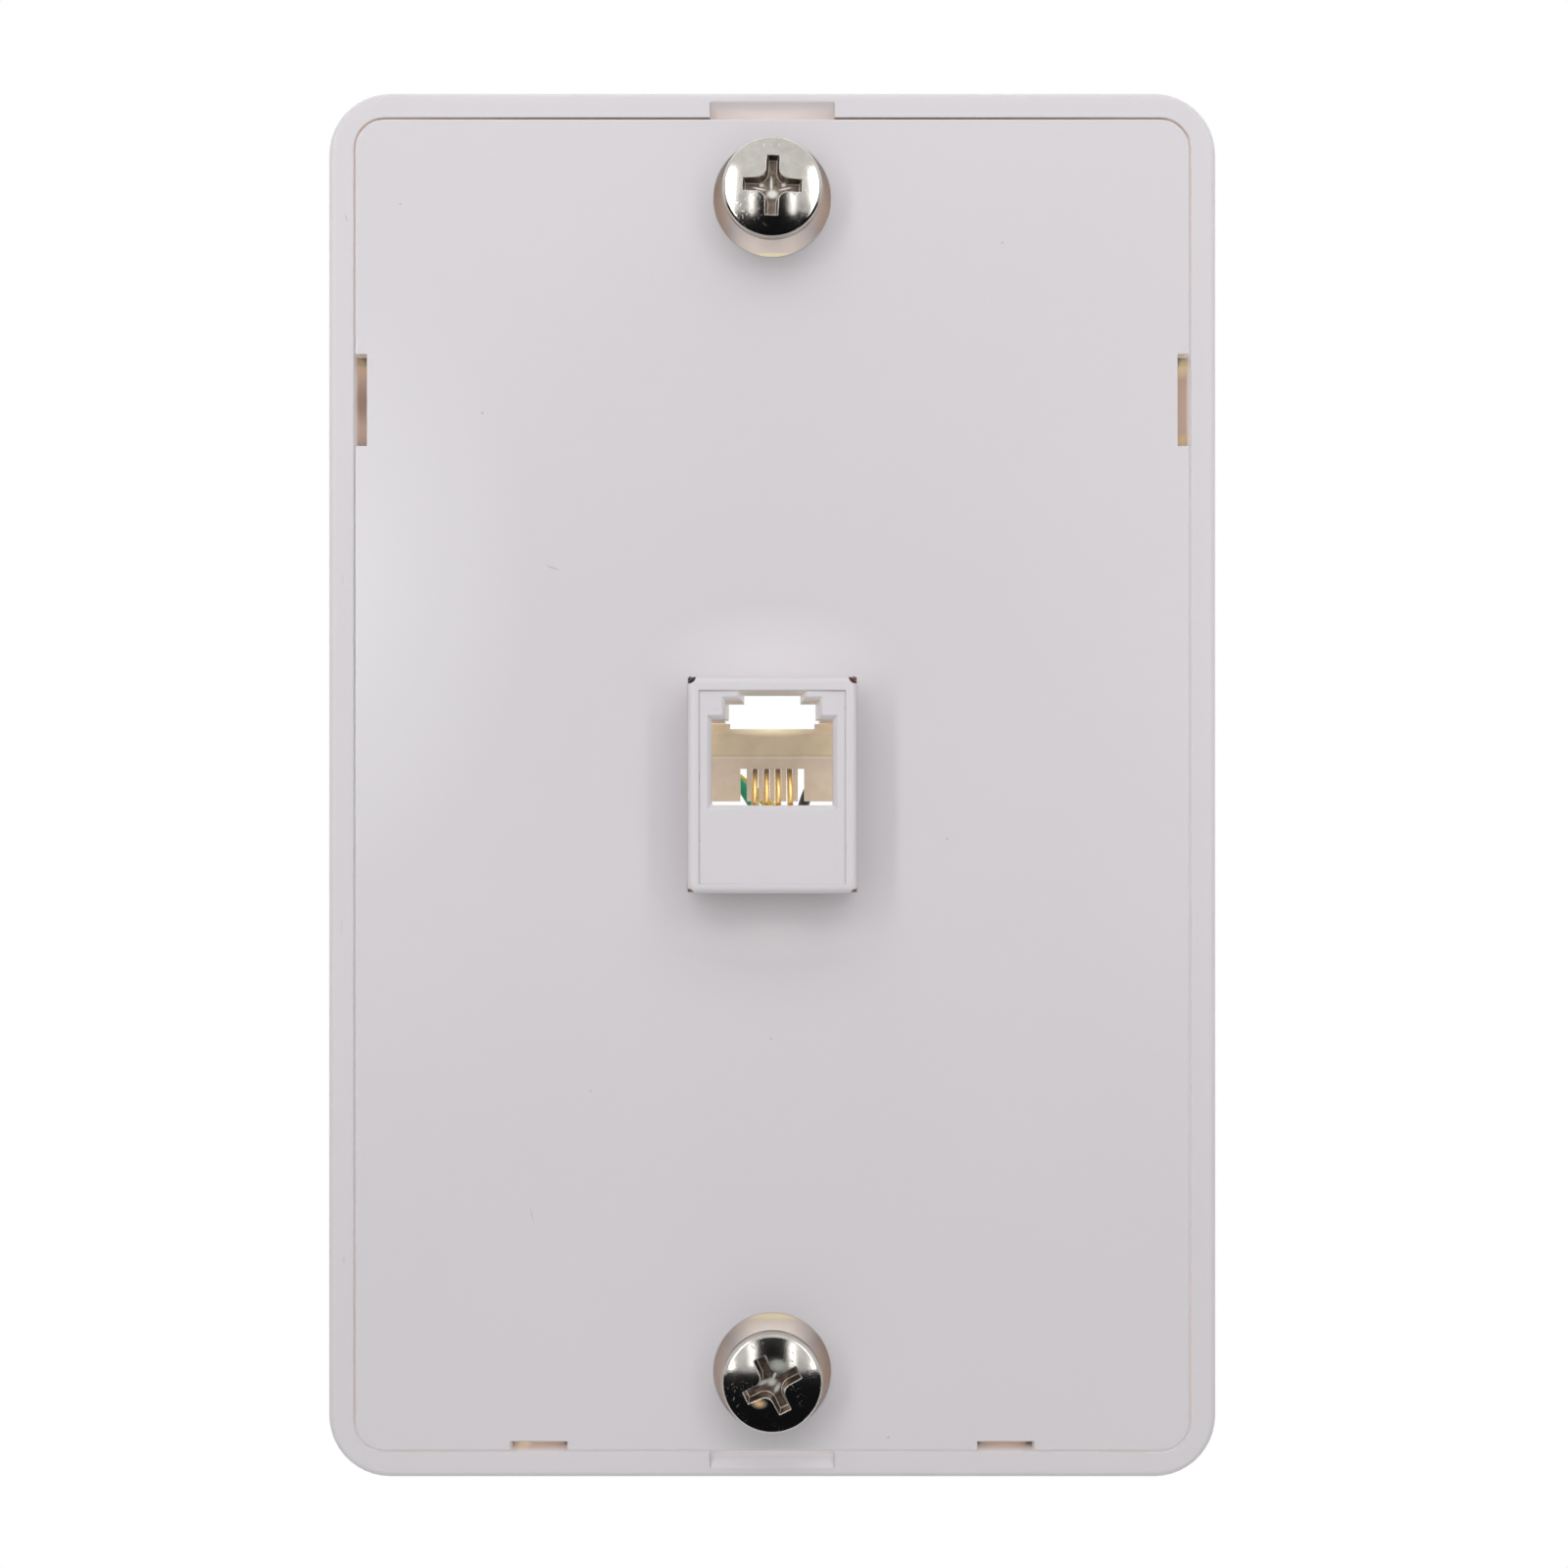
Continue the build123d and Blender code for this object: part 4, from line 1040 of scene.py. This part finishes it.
# Dark card around the camera and dark table below it, which the studs reflect: half width,
# then depth and height of two edges
CARD_DARK = (0.007, 0.007, 0.008)
CAMERA_CARD = (0.13, (-0.6, -0.19), (-0.6, 0.22))
TABLE_CARD = (2.4, (-2.0, -0.19), (-0.03, -0.19))
FLOOR_HEIGHT, FLOOR_REACH = -0.4, 4.0
FLOOR_PALE, FLOOR_ROUGHNESS = (0.8, 0.8, 0.8, 1), 0.9
# Light from below and from above, as shares of the ambient strength
AMBIENT_BELOW, AMBIENT_ABOVE, AMBIENT_SPAN = 0.3, 1.5, (-0.6, 0.7)
# What metal and gloss see of the surroundings: below, above and behind the plate
SHINE_BELOW, SHINE_ABOVE, SHINE_SPAN = 0.35, 0.82, (-0.3, 0.35)
SHINE_BEHIND, REAR_SPAN = 1.3, (0.0, 0.15)


def lamp(name, place, aim, size, power):
    """Rectangular lamp at a place, turned towards a point."""
    light = bpy.data.lights.new(name, "AREA")
    light.shape = "RECTANGLE"
    light.size, light.size_y = size
    light.energy = power
    made = bpy.data.objects.new(name, light)
    made.location = place
    made.rotation_euler = (Vector(aim) - Vector(place)).to_track_quat("-Z", "Y").to_euler()
    bpy.context.scene.collection.objects.link(made)
    return made


def strip_pair(ends, angle, height, size):
    """Two upright strip lamps, left and right of the camera, aimed level at the plate."""
    for name, side, power in ends:
        place = (
            side * STRIP_DISTANCE * sin(angle),
            -STRIP_DISTANCE * cos(angle),
            height,
        )
        lamp(name, place, (0, 0, height), size, power)


def flat_sheet(name, half_width, first, second, material):
    """Flat sheet across the view, between two edges given by their depth and height."""
    corners = [
        (-half_width, *first), (half_width, *first),
        (half_width, *second), (-half_width, *second),
    ]
    mesh = bpy.data.meshes.new(name)
    mesh.from_pydata(corners, [], [(0, 1, 2, 3)])
    mesh.materials.append(material)
    made = bpy.data.objects.new(name, mesh)
    bpy.context.scene.collection.objects.link(made)
    return made


def card(name, sizes, material):
    """Flat studio card that only reflections see."""
    made = flat_sheet(name, *sizes, material)
    made.visible_camera = False
    made.visible_diffuse = False
    made.visible_shadow = False
    made.visible_transmission = False


def plain_glow(name, colour):
    """Surface of one even brightness."""
    material = bpy.data.materials.new(name)
    material.use_nodes = True
    tree = material.node_tree
    tree.nodes.clear()
    glow = add(tree, "ShaderNodeEmission", [("Color", rgba(colour)), ("Strength", 1.0)])
    add(tree, "ShaderNodeOutputMaterial", [("Surface", glow.outputs["Emission"])])
    return material


def studio_world(ambient, behind):
    """White where the camera looks, bright behind the plate, softer from above than below."""
    world = bpy.data.worlds.new("studio")
    bpy.context.scene.world = world
    world.use_nodes = True
    tree = world.node_tree
    tree.nodes.clear()

    def background(strength):
        made = add(tree, "ShaderNodeBackground", [("Color", WHITE), ("Strength", strength)])
        return made.outputs["Background"]

    def either(share, first, second):
        made = add(tree, "ShaderNodeMixShader", [(0, share), (1, first), (2, second)])
        return made.outputs["Shader"]

    ray = add(tree, "ShaderNodeLightPath").outputs
    seen = larger(tree, ray["Is Camera Ray"], ray["Is Transmission Ray"])
    parts = separate(tree, add(tree, "ShaderNodeTexCoord").outputs["Generated"])
    rear = spread(tree, parts["Y"], *REAR_SPAN)
    around = spread(
        tree, parts["Z"], *AMBIENT_SPAN, AMBIENT_BELOW * ambient, AMBIENT_ABOVE * ambient)
    light = larger(tree, around, product(tree, rear, behind))
    shine = larger(
        tree, spread(tree, parts["Z"], *SHINE_SPAN, SHINE_BELOW, SHINE_ABOVE),
        product(tree, rear, SHINE_BEHIND))
    lit = either(ray["Is Glossy Ray"], background(light), background(shine))
    add(tree, "ShaderNodeOutputWorld", [("Surface", either(seen, lit, background(1.0)))])


def pale_floor(height, reach):
    """Pale floor well below the plate, plain white where the camera looks."""
    material, tree, shader = new_material("floor_pale")
    shader.inputs["Base Color"].default_value = FLOOR_PALE
    shader.inputs["Roughness"].default_value = FLOOR_ROUGHNESS
    path = add(tree, "ShaderNodeLightPath")
    white = add(tree, "ShaderNodeEmission", [("Color", WHITE), ("Strength", 1.0)])
    mixed = add(
        tree, "ShaderNodeMixShader",
        [(0, path.outputs["Is Camera Ray"]), (1, shader.outputs["BSDF"]),
         (2, white.outputs["Emission"])])
    feed(tree, tree.nodes["Material Output"], {"Surface": mixed.outputs["Shader"]})
    floor = flat_sheet("floor", reach, (-reach, height), (reach, height), material)


class SOCKET_OT_stage(Operator):
    """Set the camera, the lamps, the floor and the white surroundings"""
    bl_idname = "socket.set_stage"
    bl_label = "Stage"

    def execute(self, context):
        stage = settings().stage
        scene = context.scene
        scene.view_settings.view_transform = "Standard"

        lens = bpy.data.cameras.new("camera")
        focal_pixels = stage.scale * stage.distance / MM
        lens.lens = lens.sensor_width * focal_pixels / stage.image_width
        middle = stage.image_width / 2
        lens.shift_x = (middle - stage.centre_x) / stage.image_width
        lens.shift_y = (stage.centre_y - middle) / stage.image_width
        camera = bpy.data.objects.new("camera", lens)
        camera.location = (0, panel_front - stage.distance, 0)
        camera.rotation_euler = (pi / 2, 0, 0)
        scene.collection.objects.link(camera)
        scene.camera = camera

        strip_pair(
            [("strip_left", -1, stage.left_power), ("strip_right", 1, stage.right_power)],
            stage.side_angle, OUTER_HEIGHT, OUTER_SIZE)
        strip_pair(
            [("inner_left", -1, stage.inner_power), ("inner_right", 1, stage.inner_power)],
            stage.inner_angle, INNER_HEIGHT, INNER_SIZE)
        overhead = lamp("overhead", OVERHEAD_PLACE, (0, 0, 0), OVERHEAD_SIZE, stage.top_power)
        overhead.visible_glossy = False

        dark = plain_glow("card_dark", CARD_DARK)
        card("camera_side", CAMERA_CARD, dark)
        card("table", TABLE_CARD, dark)
        studio_world(stage.ambient, stage.behind)
        pale_floor(FLOOR_HEIGHT, FLOOR_REACH)
        return {"FINISHED"}


PIECE_OPERATORS = [
    SOCKET_OT_frame,
    SOCKET_OT_panel,
    SOCKET_OT_jack,
    SOCKET_OT_insert,
    SOCKET_OT_wires,
    SOCKET_OT_studs,
    SOCKET_OT_hardware,
    SOCKET_OT_leads,
    SOCKET_OT_stage,
]


class SOCKET_PT_panel(Panel):
    """Sidebar list of the socket's pieces and its stage"""
    bl_idname = "SOCKET_PT_panel"
    bl_label = "Wall Telephone Socket"
    bl_space_type = "VIEW_3D"
    bl_region_type = "UI"
    bl_category = "Socket"

    def draw(self, context):
        column = self.layout.column(align=True)
        for operator in PIECE_OPERATORS:
            column.operator(operator.bl_idname)


CLASSES = [
    PlasticSettings,
    MetalSettings,
    SheathSettings,
    StageSettings,
    SocketSettings,
    *PIECE_OPERATORS,
    SOCKET_PT_panel,
]


def register():
    for item in CLASSES:
        bpy.utils.register_class(item)
    bpy.types.Scene.socket_settings = PointerProperty(type=SocketSettings)


def unregister():
    del bpy.types.Scene.socket_settings
    for item in reversed(CLASSES):
        bpy.utils.unregister_class(item)


def main():
    register()
    for operator in PIECE_OPERATORS:
        group, name = operator.bl_idname.split(".")
        getattr(getattr(bpy.ops, group), name)()


if __name__ == "__main__":
    main()
